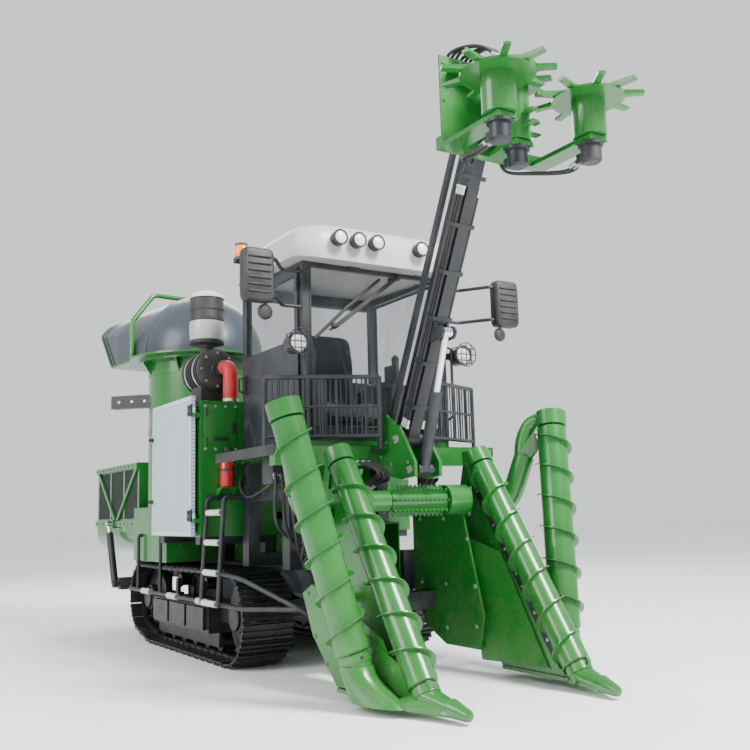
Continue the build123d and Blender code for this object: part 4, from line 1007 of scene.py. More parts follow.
class HARVESTER_OT_boom(bpy.types.Operator):
    """Topper boom: clipped hoses, pin caps and the loops at its foot"""
    bl_idname = "harvester.boom"
    bl_label = "Topper boom"

    def execute(self, context):
        foot, top = (Vector((0, *p)) for p in BOOM)
        rise = (top - foot).normalized()
        front = X.cross(rise)
        runs, clips = [], Shop()
        for side in SIDES.values():
            for lane in (-0.030, 0.0, 0.030):
                start = foot + rise * 0.10 + front * lane + X * side * 0.064
                end = top - rise * 0.30 + front * lane + X * side * 0.064
                runs.append([start.lerp(end, t) for t in spread(0, 1, 6)])
        for d in spread(0.25, (top - foot).length - 0.25, 6):
            corners = ((-0.080, -0.055), (0.080, -0.055), (0.080, 0.055), (-0.080, 0.055))
            clips.plate([foot + rise * d + X * x + front * f for x, f in corners], rise * 0.030)
        clips.finish("boom_clips", "black_paint", "boom")
        hoses("boom_hoses", runs, "boom", THIN_HOSE)
        self.pins()
        loops = []
        for i, x in enumerate((-0.30, -0.25, -0.20, 0.20, 0.25, 0.30)):
            loops.append((
                (x, -1.384, 1.52), (x, -1.50, 1.50), (x * 0.85, -1.60, 1.44 - 0.02 * (i % 3)),
                (x * 0.95, -1.52, 1.37), (x * 1.1, -1.42, 1.33)))
        hoses("boom_foot_hoses", loops)
        return {"FINISHED"}

    def pins(self):
        """Cap with three bolts on each end of a pin, and the base plates' bolts."""
        caps, places = Shop(24), []
        for (y, z), r in ((BOOM[0], 0.034), (LINK_FOOT, 0.028), (JACK_FOOT, 0.028)):
            for side in SIDES.values():
                caps.turned((side * 0.117, y, z), X * side, ((0, r), (0.006, r), (0.009, r * 0.7)))
                # The first bolt sits half a radian round
                for c, s in around(3, 3 * 0.5 / math.tau):
                    places.append(((side * 0.127, y + r * 0.6 * c, z + r * 0.6 * s), X * side))
        base = ((-1.42, 1.56), (-1.42, 1.80), (-1.56, 1.50), (-1.78, 1.50), (-1.50, 1.66))
        for side in SIDES.values():
            places += [((side * 0.118, *at), X * side) for at in base]
        caps.finish("boom_pin_caps", "zinc")
        grown_bolts("boom_base_bolts", places, radius=0.008)


class HARVESTER_OT_topper(bpy.types.Operator):
    """Topper head: finger ribs, motors, hose bundle and the cover over the rotor"""
    bl_idname = "harvester.topper"
    bl_label = "Topper head"

    def execute(self, context):
        for name, side in SIDES.items():
            centre = (side * DRUM_AT[0], DRUM_AT[1])
            self.ribs(f"finger_ribs_{name}", f"drum_{name}", centre, 3.7079, 9, 0.095, 0.340)
        self.ribs("rotor_ribs", "rotor", (0, ROTOR_Y), 3.8279, 7, 0.085, 0.236)
        motors, places = Shop(24), []
        motor = ((0, 0.080), (0.018, 0.080), (0.020, 0.065), (0.112, 0.065), (0.118, 0.056), (0.127, 0.050))
        for x, y in ((-DRUM_AT[0], DRUM_AT[1]), DRUM_AT, (0, ROTOR_Y)):
            motors.turned((x, y, HEAD_Z - 0.003), -Z, motor)
            places += [((x + 0.088 * c, y + 0.088 * s, HEAD_Z - 0.001), -Z) for c, s in around(4, 0.5)]
            motors.slab(
                (x - 0.030, y + 0.045, HEAD_Z - 0.105), (x + 0.030, y + 0.105, HEAD_Z - 0.045), 0.006)
        motors.finish("topper_motors", "black_paint", "head")
        places += [((x, HEAD_Y - 0.071, HEAD_Z + 0.040), -Y) for x in spread(-0.40, 0.40, 9)]
        for x, z in ((-0.36, 4.00), (-0.36, 3.75), (-0.09, 4.00), (-0.09, 3.75), (-0.36, 3.50)):
            places.append(((x, HEAD_Y - 0.013, z), -Y))
        grown_bolts("topper_bolts", places, "head", "green_paint")
        self.cover()
        self.bundle()
        return {"FINISHED"}

    def ribs(self, name, body, centre, top, count, start, end):
        """Upright rib on each finger, and a hub nut."""
        shop, middle, rise = Shop(20), Vector((*centre, 0)), Vector((*centre, top))
        for i in range(count):
            turn = (Matrix.Translation(middle) @ Matrix.Rotation(math.tau * i / count, 4, "Z")
                    @ Matrix.Translation(-middle))
            shop.rings([[turn @ (rise + Vector((r, w, h)))
                         for w, h in ((-0.004, 0), (0.004, 0), (0.004, high), (-0.004, high))]
                        for r, high in ((start, 0.034), (end, 0.014))])
        shop.turned(rise + Z * 0.032, Z, ((0, 0.034), (0.014, 0.034), (0.018, 0.020)))
        shop.finish(name, "green_paint", body)

    def cover(self):
        """Domed cover over the rotor's motor, with its shelf and bridge."""
        shop = Shop(32)
        shop.turned((0, ROTOR_Y, 3.905), Z, (
            (0.010, 0.0), (0.006, 0.140), (0.0, 0.155), (0.018, 0.158), (0.045, 0.146), (0.066, 0.112),
            (0.078, 0.060), (0.080, 0.0)))
        shop.slab((-0.330, HEAD_Y - 0.110, 3.930), (-0.080, HEAD_Y - 0.0121, 3.950), 0.004)
        bridge = ((-0.250, HEAD_Y - 0.100), (-0.090, HEAD_Y - 0.100), (0.040, ROTOR_Y + 0.120),
                  (-0.080, ROTOR_Y + 0.100))
        shop.plate([(*at, 3.929) for at in bridge], Z * 0.020)
        shop.finish("rotor_cover", "green_paint", "head")

    def bundle(self):
        """Six hoses over the back plate to the rotor, and a pair to each drum's motor."""
        runs = []
        for i in range(6):
            x = -0.30 + i * 0.036
            runs.append((
                (x, HEAD_Y + 0.040, 3.560), (x - 0.01, HEAD_Y + 0.050, 3.85), (x, HEAD_Y + 0.035, 4.055),
                (x + 0.03, HEAD_Y - 0.06, 4.095 + 0.012 * (i % 3)),
                (x * 0.55 - 0.01, HEAD_Y - 0.17, 4.085), (x * 0.30, ROTOR_Y + 0.02, 3.995)))
        reach, y = DRUM_AT
        for x in (-reach, reach):
            for lane in (-0.018, 0.018):
                runs.append((
                    (x + lane, y + 0.112, HEAD_Z - 0.09), (x + lane, y + 0.22, HEAD_Z - 0.11),
                    (x * 0.8 + lane, HEAD_Y - 0.10, HEAD_Z - 0.06), (x * 0.4, HEAD_Y + 0.02, HEAD_Z - 0.03),
                    (x * 0.26 + lane, HEAD_Y + 0.03, HEAD_Z + 0.10)))
        hoses("topper_hoses", runs, "head", THIN_HOSE)


class HARVESTER_OT_cab(bpy.types.Operator):
    """Cab: roof, deck mats, stuffed seat, controls, seals, wiper, handles and guard bars"""
    bl_idname = "harvester.cab"
    bl_label = "Cab"

    def execute(self, context):
        self.roof()
        self.deck()
        self.seat()
        self.controls()
        self.outside()
        return {"FINISHED"}

    def roof(self):
        """Crowned roof with rounded corners and a drooping front brow, and the beacon's stay."""
        shop, stay, rows = Shop(), Shop(), []
        for z, half, front, back, corner, drop in ROOF_LEVELS:
            ring, x = [], half - corner
            corners = ((x, back - corner), (-x, back - corner), (-x, front + corner), (x, front + corner))
            for start, (cx, cy) in enumerate(corners):
                for i in range(9):
                    a = math.pi / 2 * (start + i / 8)
                    y = cy + corner * math.sin(a)
                    droop = drop * max(0.0, (front + BROW - y) / BROW) ** 2
                    ring.append((cx + corner * math.cos(a), y, z - droop))
            rows.append(ring)
        shop.rings(rows)
        shop.finish("roof_shell", "roof_plastic", angle=50, replaces=("cab_roof",))
        stay.slab((-0.962, -0.722, 3.104), (-0.720, -0.678, 3.114), 0.003)
        stay.finish("beacon_stay", "black_paint")

    def deck(self):
        """Rubber edge strips and ribbed mats on the platform."""
        shop, x = Shop(), 0.9503
        for side in SIDES.values():
            low, high = sorted((side * x, side * (x + 0.008)))
            shop.slab((low, -1.384, 1.572), (high, -0.300, 1.648), 0.003)
            inner, outer = sorted((side * 0.668, side * 0.944))
            for y in spread(-1.372, -0.335, 26):
                shop.slab((inner, y, 1.6402), (outer, y + 0.030, 1.647), 0.002)
        shop.slab((-0.640, -1.374, 1.6402), (0.640, -1.240, 1.646), 0.002)
        shop.finish("deck_mats", "black_plastic")

    def seat(self):
        """Seat cushion, backrest and bolsters in one stuffed piece."""
        low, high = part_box("seat_pads")
        shop = Shop()
        base, back = low.z + 0.120, high.y - 0.120
        shop.pillow((low.x, low.y, low.z), (high.x, high.y - 0.05, base), 0.30)
        shop.pillow((low.x + 0.01, back, base - 0.005), (high.x - 0.01, high.y, high.z), 0.30)
        for side in SIDES.values():
            x = side * 0.19
            shop.pillow((x - 0.05, low.y + 0.05, base - 0.055), (x + 0.05, back + 0.04, base + 0.025), 0.55)
            shop.pillow(
                (x - 0.045, back - 0.030, base + 0.06), (x + 0.045, high.y - 0.03, high.z - 0.12), 0.55)
        shop.pillow(
            (low.x + 0.10, back - 0.012, base + 0.08), (high.x - 0.10, back + 0.06, high.z - 0.16), 0.5)
        made = shop.finish("seat_cushions", "seat_cloth", angle=80, replaces=("seat_pads",))

    def controls(self):
        """Arm rests, levers, display and the bar under the roof."""
        shop = Shop(18)
        for side in SIDES.values():
            x = side * 0.380
            shop.pillow((x - 0.060, -0.840, 2.180), (x + 0.060, -0.420, 2.230), 0.4)
            shop.turned((x, -0.880, 2.335), Z, ((0, 0.018), (0.03, 0.030), (0.075, 0.032), (0.10, 0.012)))
            for step in range(3):
                shop.turned((x - 0.055, -0.935 + step * 0.022, 2.180), Z, (
                    (0, 0.012), (0.03, 0.006), (0.075, 0.006), (0.08, 0.013), (0.10, 0.010)))
        shop.slab((0.300, -1.020, 2.200), (0.330, -0.830, 2.340), 0.008)
        shop.slab((-0.550, -0.230, 2.950), (0.550, -0.150, 2.998), 0.012)
        shop.finish("cab_controls", "black_plastic")

    def outside(self):
        """Seals, wiper, grab bars, door handle and the thin bars of the guard rails."""
        x, y, side_x, low, high = 0.578, -1.2305, 0.6405, 1.795, 2.995
        windows = (((-x, y), (x, y)), ((side_x, -1.165), (side_x, -0.175)))
        runs = [([(*a, low), (*b, low), (*b, high), (*a, high)], True) for a, b in windows]
        grown_wires("window_seals", runs, 0.010, material="black_plastic")
        wiper, handle = Shop(14), Shop(14)
        for x, z in ((0.19, 2.985), (0.13, 2.955)):
            wiper.turned((x, -1.232, z), -Y, ((0, 0.026), (0.026, 0.026), (0.036, 0.016)))
            wiper.pipe(
                ((x, -1.268, z), (x - 0.28, -1.268, z - 0.22), (x - 0.56, -1.258, z - 0.44)), 0.011)
        wiper.pipe(((0.02, -1.248, 2.950), (-0.28, -1.250, 2.700), (-0.56, -1.248, 2.440)), 0.013)
        wiper.rod((-0.40, -1.272, 2.530), (-0.40, -1.244, 2.580), 0.020)
        for x in (-0.655, 0.655):
            grab = ((-1.225, 1.88), (-1.285, 1.90), (-1.285, 2.44), (-1.225, 2.46))
            wiper.pipe([(x, *at) for at in grab], 0.012)
        for x in (-0.20, 0.40):
            wiper.slab((x - 0.05, -1.250, 3.003), (x + 0.05, -1.232, 3.045), 0.006)
        wiper.finish("cab_trim", "black_plastic")
        low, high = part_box("door_frame")
        x, y = low.x, high.y - 0.035
        handle.slab((x - 0.010, y - 0.020, 2.14), (x + 0.002, y + 0.020, 2.30), 0.004)
        handle.pipe(
            ((x - 0.008, y, 2.28), (x - 0.045, y, 2.27), (x - 0.045, y, 2.17), (x - 0.008, y, 2.16)), 0.009)
        handle.finish("door_handle", "black_plastic", "door")
        bars = []
        for side in SIDES.values():
            outer, inner = Vector((side * 0.930, -1.170)), Vector((side * 0.170, -1.515))
            for t in spread(0.02, 0.98, sizes().guard_bars):
                at = outer.lerp(inner, t)
                bars.append((((*at, 1.712), (*at, 2.138)), False))
        grown_wires("guard_bars", bars, 0.0055)


class HARVESTER_OT_lamps(bpy.types.Operator):
    """Lamps, beacon and mirrors: lenses, rims, wire guards, shells and glass"""
    bl_idname = "harvester.lamps"
    bl_label = "Lamps and mirrors"

    def execute(self, context):
        lenses, rims, amber, wires = Shop(28), Shop(28), Shop(28), []
        for x in ROOF_LAMPS:
            self.lamp(lenses, rims, Vector((x, -1.495, 3.160)), 0.055)
        for side in SIDES.values():
            at = Vector((side * 0.735, -1.330, 2.386))
            self.lamp(lenses, rims, at, 0.075)
            wires += self.guard(at, 0.096)
        lenses.finish("lamp_lenses", "lamp_lens")
        rims.turned((*BEACON, 3.126), Z, ((0, 0.062), (0.016, 0.062), (0.026, 0.054)))
        rims.finish("lamp_rims", "lamp_body")
        grown_wires("lamp_guards", wires, 0.0042)
        amber.turned((*BEACON, 3.150), Z, (
            (0, 0.054), (0.010, 0.058), (0.085, 0.055), (0.108, 0.040), (0.119, 0.016), (0.120, 0.0)))
        amber.finish("beacon_dome", "amber_lens")
        self.mirrors()
        return {"FINISHED"}

    def lamp(self, lenses, rims, at, r):
        """Domed lens and stepped rim on a lamp's front face."""
        dome = ((0, 0.84), (0.012, 0.84), (0.020, 0.66), (0.025, 0.34), (0.027, 0.0))
        rim = ((0, 0.85), (0, 1.09), (0.018, 1.09), (0.024, 0.97), (0.020, 0.85))
        lenses.turned(at + Y * 0.002, -Y, [(d, r * k) for d, k in dome])
        rims.turned(at + Y * 0.006, -Y, [(d, r * k) for d, k in rim], True)

    def guard(self, at, r):
        """Wire cage in front of a head lamp."""
        front = at - Y * 0.050
        runs = [([front + X * r * c + Z * r * s for c, s in around(20)], True)]
        for t in (-0.5, 0.0, 0.5):
            chord = r * math.sqrt(1 - t * t)
            for one, other in ((X, Z), (Z, X)):
                middle = front + one * r * t
                runs.append(([middle + other * chord, middle - other * chord], False))
        for a in (0.6, 2.5, 3.8, 5.6):
            spot = front + X * r * math.cos(a) + Z * r * math.sin(a)
            runs.append(([spot, spot + Y * 0.085, at + Y * 0.060 + (spot - front) * 0.6], False))
        return runs

    def mirrors(self):
        """Rounded shells with ribbed fronts, plane glass behind, and small round mirrors below."""
        shells, glass = Shop(24), Shop(32)

        def ring(x, y, wide, high):
            return [(x + wide * soft(c, 0.25), y, 2.815 + high * soft(s, 0.25)) for c, s in around(40)]

        levels = ((-1.399, 0.98), (-1.404, 1.0), (-1.466, 1.0), (-1.482, 0.95), (-1.490, 0.86))
        for side in SIDES.values():
            x = side * 1.100
            shells.rings([ring(x, y, 0.116 * k, 0.191 * k) for y, k in levels])
            for z in spread(2.690, 2.940, 6):
                shells.slab((x - 0.085, -1.499, z - 0.006), (x + 0.085, -1.487, z + 0.006), 0.003)
            glass.rings([ring(x, y, 0.103, 0.176) for y in (-1.3992, -1.3950)])
            spot = Vector((side * 1.040, -1.430, 2.560))
            shells.turned(spot - Y * 0.030, Y, ((0, 0.010), (0.004, 0.040), (0.022, 0.056), (0.030, 0.056)))
            stem = spot - Y * 0.015
            shells.pipe((stem, stem + Z * 0.06, (side * 1.030, -1.435, 2.680)), 0.009)
            glass.turned(spot, Y, ((0.0002, 0.051), (0.004, 0.050), (0.006, 0.030), (0.007, 0.0)))
        shells.finish("mirror_shells", "black_plastic")
        glass.finish("mirror_faces", "mirror_glass")


class HARVESTER_OT_engine(bpy.types.Operator):
    """Engine bay: screen rims, access doors, louvres, air intake, extinguisher and tank fittings"""
    bl_idname = "harvester.engine"
    bl_label = "Engine bay"

    def execute(self, context):
        self.screen()
        self.panels()
        self.intake()
        self.bottle()
        self.tank()
        return {"FINISHED"}

    def screen(self):
        """Plain rims round the punched screen, with strap hinges and knobs."""
        x, y0, y1, z0, z1, wide = -1.0621, -0.041, 0.945, 1.010, 2.140, 0.038
        rims, straps, bolts = Shop(), Shop(20), []
        low, high = z0 + wide, z1 - wide
        for near, far in (((y0, z0), (y1, low)), ((y0, high), (y1, z1)), ((y0, low), (y0 + wide, high)),
                          ((y1 - wide, low), (y1, high))):
            rims.slab((x - 0.005, *near), (x, *far), 0.0015)
        rims.finish("screen_rims", "screen_frame", "screen")
        for z in (1.170, 2.020):
            straps.slab((x - 0.012, y0 - 0.004, z - 0.045), (x - 0.0045, y0 + 0.070, z + 0.045), 0.003)
            straps.rod((x - 0.004, y0 - 0.006, z - 0.050), (x - 0.004, y0 - 0.006, z + 0.050), 0.009)
            for dz in (0.028, -0.028):
                bolts += [((x - 0.013, y0 + dy, z + dz), -X) for dy in (0.020, 0.050)]
        for z in (1.300, 1.850):
            straps.turned((x - 0.004, y1 - 0.019, z), -X, (
                (0, 0.020), (0.010, 0.020), (0.014, 0.012), (0.026, 0.012), (0.030, 0.018), (0.040, 0.014)))
        straps.finish("screen_straps", "black_paint", "screen")
        grown_bolts("screen_bolts", bolts, "screen", "black_paint", 0.007)

    def tank(self):
        """Straps, bolted cover, return filter, filler cap and level gauge on the oil tank."""
        low, high = (Vector(c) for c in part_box("oil_tank"))
        middle = (low + high) / 2
        dark, green, gauge, bolts = Shop(28), Shop(40), Shop(16), []
        for y in (low.y + 0.20, high.y - 0.20):
            dark.slab((high.x, y - 0.021, low.z + 0.05), (high.x + 0.0045, y + 0.021, high.z + 0.0035), 0.002)
            dark.slab((low.x + 0.05, y - 0.022, high.z), (high.x + 0.005, y + 0.022, high.z + 0.005), 0.002)
            bolts += [((high.x + 0.005, y, low.z + d), X) for d in (0.08, 0.14)]
        cover = Vector((middle.x - 0.12, middle.y, high.z))
        green.turned(cover, Z, ((0, 0.160), (0.010, 0.160), (0.014, 0.154), (0.014, 0.0)))
        bolts += [(cover + Vector((0.138 * c, 0.138 * s, 0.014)), Z) for c, s in around(10)]
        dark.turned((high.x - 0.15, middle.y - 0.12, high.z), Z, (
            (0, 0.060), (0.006, 0.060), (0.008, 0.046), (0.045, 0.046), (0.047, 0.062), (0.078, 0.060),
            (0.086, 0.046), (0.086, 0.0)))
        dark.turned((high.x - 0.15, middle.y + 0.14, high.z), Z, (
            (0, 0.090), (0.010, 0.090), (0.012, 0.074), (0.085, 0.074), (0.090, 0.082), (0.108, 0.080),
            (0.118, 0.060), (0.120, 0.0)))
        x, y, z = high.x, middle.y, middle.z + 0.10
        dark.slab((x, y - 0.028, z - 0.150), (x + 0.010, y + 0.028, z + 0.150), 0.003)
        gauge.rod((x + 0.014, y, z - 0.115), (x + 0.014, y, z + 0.115), 0.011)
        for end in (z + 0.110, z - 0.140):
            dark.slab((x, y - 0.022, end), (x + 0.028, y + 0.022, end + 0.030), 0.004)
        dark.finish("tank_fittings", "black_paint")
        green.finish("tank_cover", "green_paint")
        gauge.finish("tank_gauge", "clear_bowl")
        grown_bolts("tank_bolts", bolts, radius=0.008)

    def panels(self):
        """Access doors, top cover, latches, bolts and side louvres on the housing."""
        green, dark, slat, bolts, y = Shop(), Shop(16), Shop(), [], -0.0851
        for low, high in ((-0.975, -0.690), (0.690, 0.975)):
            green.slab((low, y - 0.011, 1.690), (high, y, 2.070), 0.005)
        green.slab((0.100, 0.080, 2.1001), (0.900, 0.800, 2.125), 0.010)
        for x in (-0.960, 0.960):
            for z in (1.760, 2.000):
                dark.rod((x, y - 0.015, z - 0.035), (x, y - 0.015, z + 0.035), 0.009)
        for x in (-0.720, 0.720):
            dark.slab((x - 0.016, y - 0.024, 1.840), (x + 0.016, y - 0.010, 1.920), 0.004)
        dark.slab((-0.900, y - 0.030, 1.775), (-0.770, y - 0.0105, 1.800), 0.004)
        pull = ((0.30, 2.124), (0.30, 2.165), (0.60, 2.165), (0.60, 2.124))
        dark.pipe([(x, 0.42, z) for x, z in pull], 0.009)
        green.finish("bay_panels", "green_paint")
        dark.finish("bay_latches", "black_paint")
        for x in spread(-0.965, -0.700, 4):
            bolts += [((x, y - 0.0125, z), -Y) for z in (1.705, 2.055)]
        for v in spread(0.02, 0.90, 7):
            rows = ((1, 1.040), (1, 2.060), (-1, 1.035), (-1, 2.070))
            bolts += [((side * 1.0005, v, z), X * side) for side, z in rows]
        for x in spread(-0.94, 0.94, 9):
            bolts += [((x, edge, 2.1005), Z) for edge in (-0.050, 0.915)]
        grown_bolts("bay_bolts", bolts, radius=0.008)
        profile = ((0.030, 0), (-0.012, 0.026), (-0.016, 0.021), (0.006, 0))
        slat.rings([[(end, *at) for at in profile] for end in (-0.36, 0.36)])
        places = [((1.0001, 0.450, z), X) for z in spread(1.200, 1.900, 11)]
        grown_copies("bay_louvres", places, slat, "green_paint")

    def intake(self):
        """Ribbed filter drum and its saddle, pre-cleaner can, clear bowl, cap and hose clamps."""
        x, y, z, can_y = -0.750, 0.170, 2.406, 0.430
        shop, bowl, cap, clamps = Shop(48), Shop(48), Shop(48), Shop(48)
        profile = [
            (-0.016, 0.0), (-0.016, 0.055), (-0.008, 0.060), (0.0, 0.125), (0.018, 0.168), (0.030, 0.178),
            (0.044, 0.178), (0.046, 0.166)]
        for d in spread(0.070, 0.330, 7):
            profile += [(d - 0.010, 0.166), (d - 0.006, 0.183), (d + 0.006, 0.183), (d + 0.010, 0.166)]
        profile += [(0.366, 0.166), (0.370, 0.180), (0.398, 0.180), (0.400, 0.170), (0.400, 0.0)]
        shop.turned((x, y, z), Y, profile)
        shop.slab((x - 0.120, 0.250, 2.1003), (x + 0.120, 0.490, z - 0.130), 0.008)
        shop.turned((x, can_y, z + 0.150), Z, ((0, 0.060), (0.075, 0.060), (0.080, 0.072), (0.100, 0.072)))
        shop.turned((x, can_y, 2.660), Z, (
            (0, 0.110), (0.006, 0.152), (0.032, 0.152), (0.036, 0.128), (0.200, 0.128), (0.204, 0.150),
            (0.230, 0.154), (0.250, 0.146), (0.300, 0.148), (0.306, 0.155), (0.322, 0.155), (0.326, 0.146),
            (0.410, 0.146), (0.414, 0.120)))
        shop.finish("filter_drum", "black_plastic", replaces=("air_filter",))
        bowl.turned((x, can_y, 2.696), Z, (
            (0, 0.129), (0, 0.143), (0.012, 0.149), (0.080, 0.152), (0.150, 0.154), (0.166, 0.150),
            (0.166, 0.129)), True)
        bowl.finish("cleaner_bowl", "clear_bowl")
        cap.turned((x, can_y, 3.072), Z, (
            (0, 0.130), (0.002, 0.156), (0.022, 0.157), (0.034, 0.140), (0.044, 0.100), (0.060, 0.088),
            (0.072, 0.040), (0.076, 0.0)))
        cap.finish("cleaner_cap", "white_plastic")
        for at, axis in (((x + 0.060, 0.150, 2.420), Y), ((x + 0.060, 0.040, 2.125), Z)):
            clamps.band(Vector(at) - axis * 0.012, axis, 0.0625, 0.068, 0.024)
        for d in (0.110, 0.300):
            clamps.band((x, y + d, z), Y, 0.165, 0.187, 0.022)
        clamps.finish("filter_clamps", "zinc")
        places = [((x + 0.145 * c, y + 0.0045, z + 0.145 * s), -Y) for c, s in around(8)]
        grown_bolts("filter_bolts", places, radius=0.007)

    def bottle(self):
        """Fire extinguisher on its shelf, with valve, lever and hose."""
        x, y, wall = -0.800, -0.150, -0.0853
        red, trim, shelf = Shop(32), Shop(20), Shop()
        red.turned((x, y, 1.3915), Z, (
            (0, 0.046), (0.006, 0.055), (0.195, 0.055), (0.225, 0.046), (0.243, 0.028), (0.250, 0.020)))
        red.finish("extinguisher_bottle", "bottle_red", replaces=("extinguisher",))
        trim.turned((x, y, 1.638), Z, (
            (0, 0.022), (0.012, 0.024), (0.030, 0.024), (0.034, 0.014), (0.046, 0.014)))
        trim.slab((x - 0.012, y - 0.075, 1.682), (x + 0.012, y + 0.020, 1.690), 0.002)
        trim.slab((x - 0.010, y - 0.070, 1.700), (x + 0.010, y + 0.018, 1.708), 0.002)
        trim.pipe((
            (x + 0.02, y, 1.655), (x + 0.055, y - 0.01, 1.65), (x + 0.068, y - 0.02, 1.58),
            (x + 0.066, y - 0.02, 1.47)), 0.008)
        trim.band((x, y, 1.520), Z, 0.054, 0.0585, 0.020)
        trim.finish("extinguisher_trim", "black_plastic")
        shelf.slab((-0.870, -0.215, 1.380), (-0.730, wall, 1.3915), 0.003)
        for edge in (-0.870, -0.738):
            shelf.plate([(edge, wall, 1.300), (edge, wall, 1.381), (edge, -0.205, 1.381)], X * 0.008)
        shelf.finish("extinguisher_shelf", "green_paint")


class HARVESTER_OT_extractor(bpy.types.Operator):
    """Trash extractor: tower bands, flange bolts, hood crease, the lips of its mouth and the tail lamp"""
    bl_idname = "harvester.extractor"
    bl_label = "Extractor"

    def execute(self, context):
        x, y = TOWER_AT
        bands, red = Shop(64), Shop(24)
        for z in (1.960, 2.520):
            bands.band((x, y, z), Z, 0.509, 0.518, 0.045)
        bands.finish("tower_bands", "green_paint")
        self.hood(math.radians(HOOD_TURN), Vector((x, y, HOOD_FOOT)))
        slant, bar = math.sqrt(0.5), Vector((x, y, TAIL_Z))
        tail, face = Vector((-slant, slant, 0)), Vector((-slant, -slant, 0))
        marks = [(bar + tail * r + face * 0.0455, face) for r in (0.600, 0.740, 0.880)]
        grown_bolts("tail_bolts", marks, radius=0.009)
        red.turned(bar + tail * 0.9695, tail, ((0, 0.034), (0.010, 0.034), (0.016, 0.020), (0.018, 0.0)))
        red.finish("tail_lens", "red_lens")
        return {"FINISHED"}

    def hood(self, turn, foot):
        """Lip and painted line at the mouth, crease over the front, and bolts on the flange."""
        back, side = Vector((math.cos(turn), math.sin(turn), 0)), Vector((math.sin(turn), -math.cos(turn), 0))

        def at(along, lateral, high):
            return foot + back * along + side * lateral + Z * high

        tops, (first, last) = spread(0.0, 0.615, 22), HOOD_MOUTH
        for name, pull, push, r, material in (
                ("hood_lip", 0.0, 0.0, 0.017, "hood_plastic"),
                ("hood_line", -0.075, 0.004, 0.009, "green_paint")):
            near = []
            for high in tops:
                along = first + (last - first) * high / 0.640 + pull
                near.append((along, hood_half(along, high) + push, high))
            ring = [at(a, w, h) for a, w, h in near] + [at(a, -w, h) for a, w, h in reversed(near)]
            grown_wires(name, [(ring, pull == 0.0)], r, "hood", material)
        crease = [at(0.004, s * (hood_half(0.004, h) + 0.001), h)
                  for s, rows in ((1, tops), (-1, tops[::-1])) for h in rows]
        grown_wires("hood_crease", [(crease, False)], 0.008, "hood", "hood_plastic")
        places = []
        for a in spread(turn + math.radians(100), turn + math.radians(260), 15):
            places.append((foot + Vector((math.cos(a), math.sin(a), 0)) * 0.655 - Z * 0.0002, Z))
        grown_bolts("hood_bolts", places, "hood")


class HARVESTER_OT_bin(bpy.types.Operator):
    """Tipping bin: wire mesh in its windows, rear channels and lamps"""
    bl_idname = "harvester.bin"
    bl_label = "Tipping bin"

    def execute(self, context):
        self.wires()
        (front, back), ribs, lamps, bolts = BIN_Y, Shop(), Shop(28), []
        for x in (-0.520, 0.0, 0.520):
            ribs.slab((x - 0.035, back - 0.001, 0.960), (x + 0.035, back + 0.020, 1.660), 0.006)
        ribs.slab((-0.800, back - 0.001, 1.080), (0.800, back + 0.018, 1.140), 0.006)
        ribs.finish("bin_channels", "green_paint", "bin")
        for side in SIDES.values():
            lamps.turned((side * 0.700, back - 0.002, 0.990), Y, (
                (0, 0.045), (0.012, 0.045), (0.018, 0.030), (0.020, 0.0)))
            for y in spread(front + 0.03, back - 0.03, 12):
                bolts += [((side * (BIN_X + 0.0245), y, z), X * side) for z in (1.110, 1.695)]
        lamps.finish("bin_lamps", "red_lens", "bin")
        grown_bolts("bin_bolts", bolts, "bin", "green_paint", 0.009)
        return {"FINISHED"}

    def wires(self, bays=3):
        """Crossed slanting wires in each window of the side walls."""
        runs, step = [], sizes().mesh_pitch
        bay = (BIN_Y[1] - BIN_Y[0] - (bays + 1) * BIN_POST) / bays
        foot, tall = BIN_MESH_Z[0], BIN_MESH_Z[1] - BIN_MESH_Z[0]
        for side in SIDES.values():
            x = side * (BIN_X - 0.010)
            for i in range(bays):
                y = BIN_Y[0] + BIN_POST + i * (bay + BIN_POST)
                for c in (k * step for k in range(1, int((bay + tall) / step))):
                    ends = ((min(c, bay), max(0, c - bay)), (max(0, c - tall), min(c, tall)))
                    runs.append(([(x, y + u, foot + v) for u, v in ends], False))
                    runs.append(([(x, y + (bay - u), foot + v) for u, v in ends], False))
        grown_wires("bin_wires", runs, sizes().wire, "bin", sides=5, replaces=("bin_mesh",))


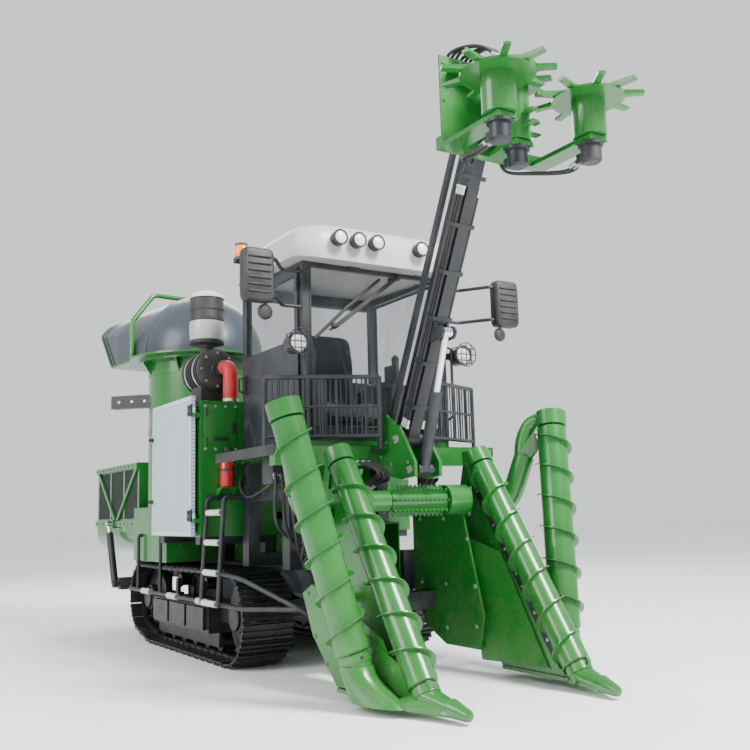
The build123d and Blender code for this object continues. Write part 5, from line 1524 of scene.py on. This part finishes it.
class HARVESTER_OT_stage(bpy.types.Operator):
    """Pale floor, soft studio lights and the camera"""
    bl_idname = "harvester.stage"
    bl_label = "Stage"

    def execute(self, context):
        self.floor()
        self.lights(context)
        self.camera(context)
        return {"FINISHED"}

    def floor(self):
        shop = Shop(64)
        shop.turned((0, 0, -0.004), Z, ((0, FLOOR_R), (0.003, FLOOR_R)))
        f = Finish("studio_floor")
        pale = f.blend(f.noise(3.0, 4.0) * 0.2, (0.95, 0.95, 0.95), (0.92, 0.92, 0.92))
        f.set(base_color=pale, roughness=0.75)
        data = shop.data("studio_floor")
        data.materials.append(f.material)
        floor = placed("studio_floor", data)

    def lights(self, context):
        world = bpy.data.worlds.new("studio_sky")
        context.scene.world = world
        world.use_nodes = True
        sky = Graph(world.node_tree)
        light = sky.node("ShaderNodeBackground", {"Color": (0.97, 0.985, 1.0, 1), "Strength": 1.05})
        sky.tree.links.new(light.socket, sky.tree.nodes["World Output"].inputs["Surface"])
        for name, at, size, power in LIGHTS:
            lamp = bpy.data.lights.new(name, "AREA")
            lamp.energy, lamp.size = power, size
            holder = placed(name, lamp)
            holder.location = at
            aim = Vector(LIGHT_TARGET) - Vector(at)
            holder.rotation_euler = aim.to_track_quat("-Z", "Y").to_euler()

    def camera(self, context):
        view = bpy.data.cameras.new("photo_camera")
        view.lens, view.sensor_width = LENS_MM, SENSOR_MM
        holder = placed("photo_camera", view)
        head, lean, roll = (math.radians(a) for a in (HEADING, PITCH, ROLL))
        ahead = Vector((math.sin(head) * math.cos(lean), math.cos(head) * math.cos(lean), math.sin(lean)))
        level = Vector((math.cos(head), -math.sin(head), 0))
        upright = level.cross(ahead)
        right = level * math.cos(roll) + upright * math.sin(roll)
        above = upright * math.cos(roll) - level * math.sin(roll)
        turn = Matrix((right, above, -ahead)).transposed()
        holder.matrix_world = Matrix.Translation(CAMERA_AT) @ turn.to_4x4()
        context.scene.camera = holder


STEPS = [
    HARVESTER_OT_finishes, HARVESTER_OT_tracks, HARVESTER_OT_dividers, HARVESTER_OT_intake, HARVESTER_OT_boom,
    HARVESTER_OT_topper, HARVESTER_OT_cab, HARVESTER_OT_lamps, HARVESTER_OT_engine, HARVESTER_OT_extractor,
    HARVESTER_OT_bin, HARVESTER_OT_stage]


class HARVESTER_PT_panel(bpy.types.Panel):
    """Harvester tools in the sidebar"""
    bl_idname = "HARVESTER_PT_panel"
    bl_label = "Harvester"
    bl_space_type = "VIEW_3D"
    bl_region_type = "UI"
    bl_category = "Harvester"

    def draw(self, context):
        for group in (context.scene.harvester_sizes, context.scene.harvester_colours):
            for key in group.__annotations__:
                self.layout.prop(group, key)
        for step in STEPS:
            self.layout.operator(step.bl_idname)


CLASSES = [Sizes, Colours, *STEPS, HARVESTER_PT_panel]


def register():
    for made in CLASSES:
        bpy.utils.register_class(made)
    bpy.types.Scene.harvester_sizes = PointerProperty(type=Sizes)
    bpy.types.Scene.harvester_colours = PointerProperty(type=Colours)


def unregister():
    del bpy.types.Scene.harvester_colours
    del bpy.types.Scene.harvester_sizes
    for made in reversed(CLASSES):
        bpy.utils.unregister_class(made)


def main():
    register()
    for step in STEPS:
        group, name = step.bl_idname.split(".")
        getattr(getattr(bpy.ops, group), name)()


if __name__ == "__main__":
    main()
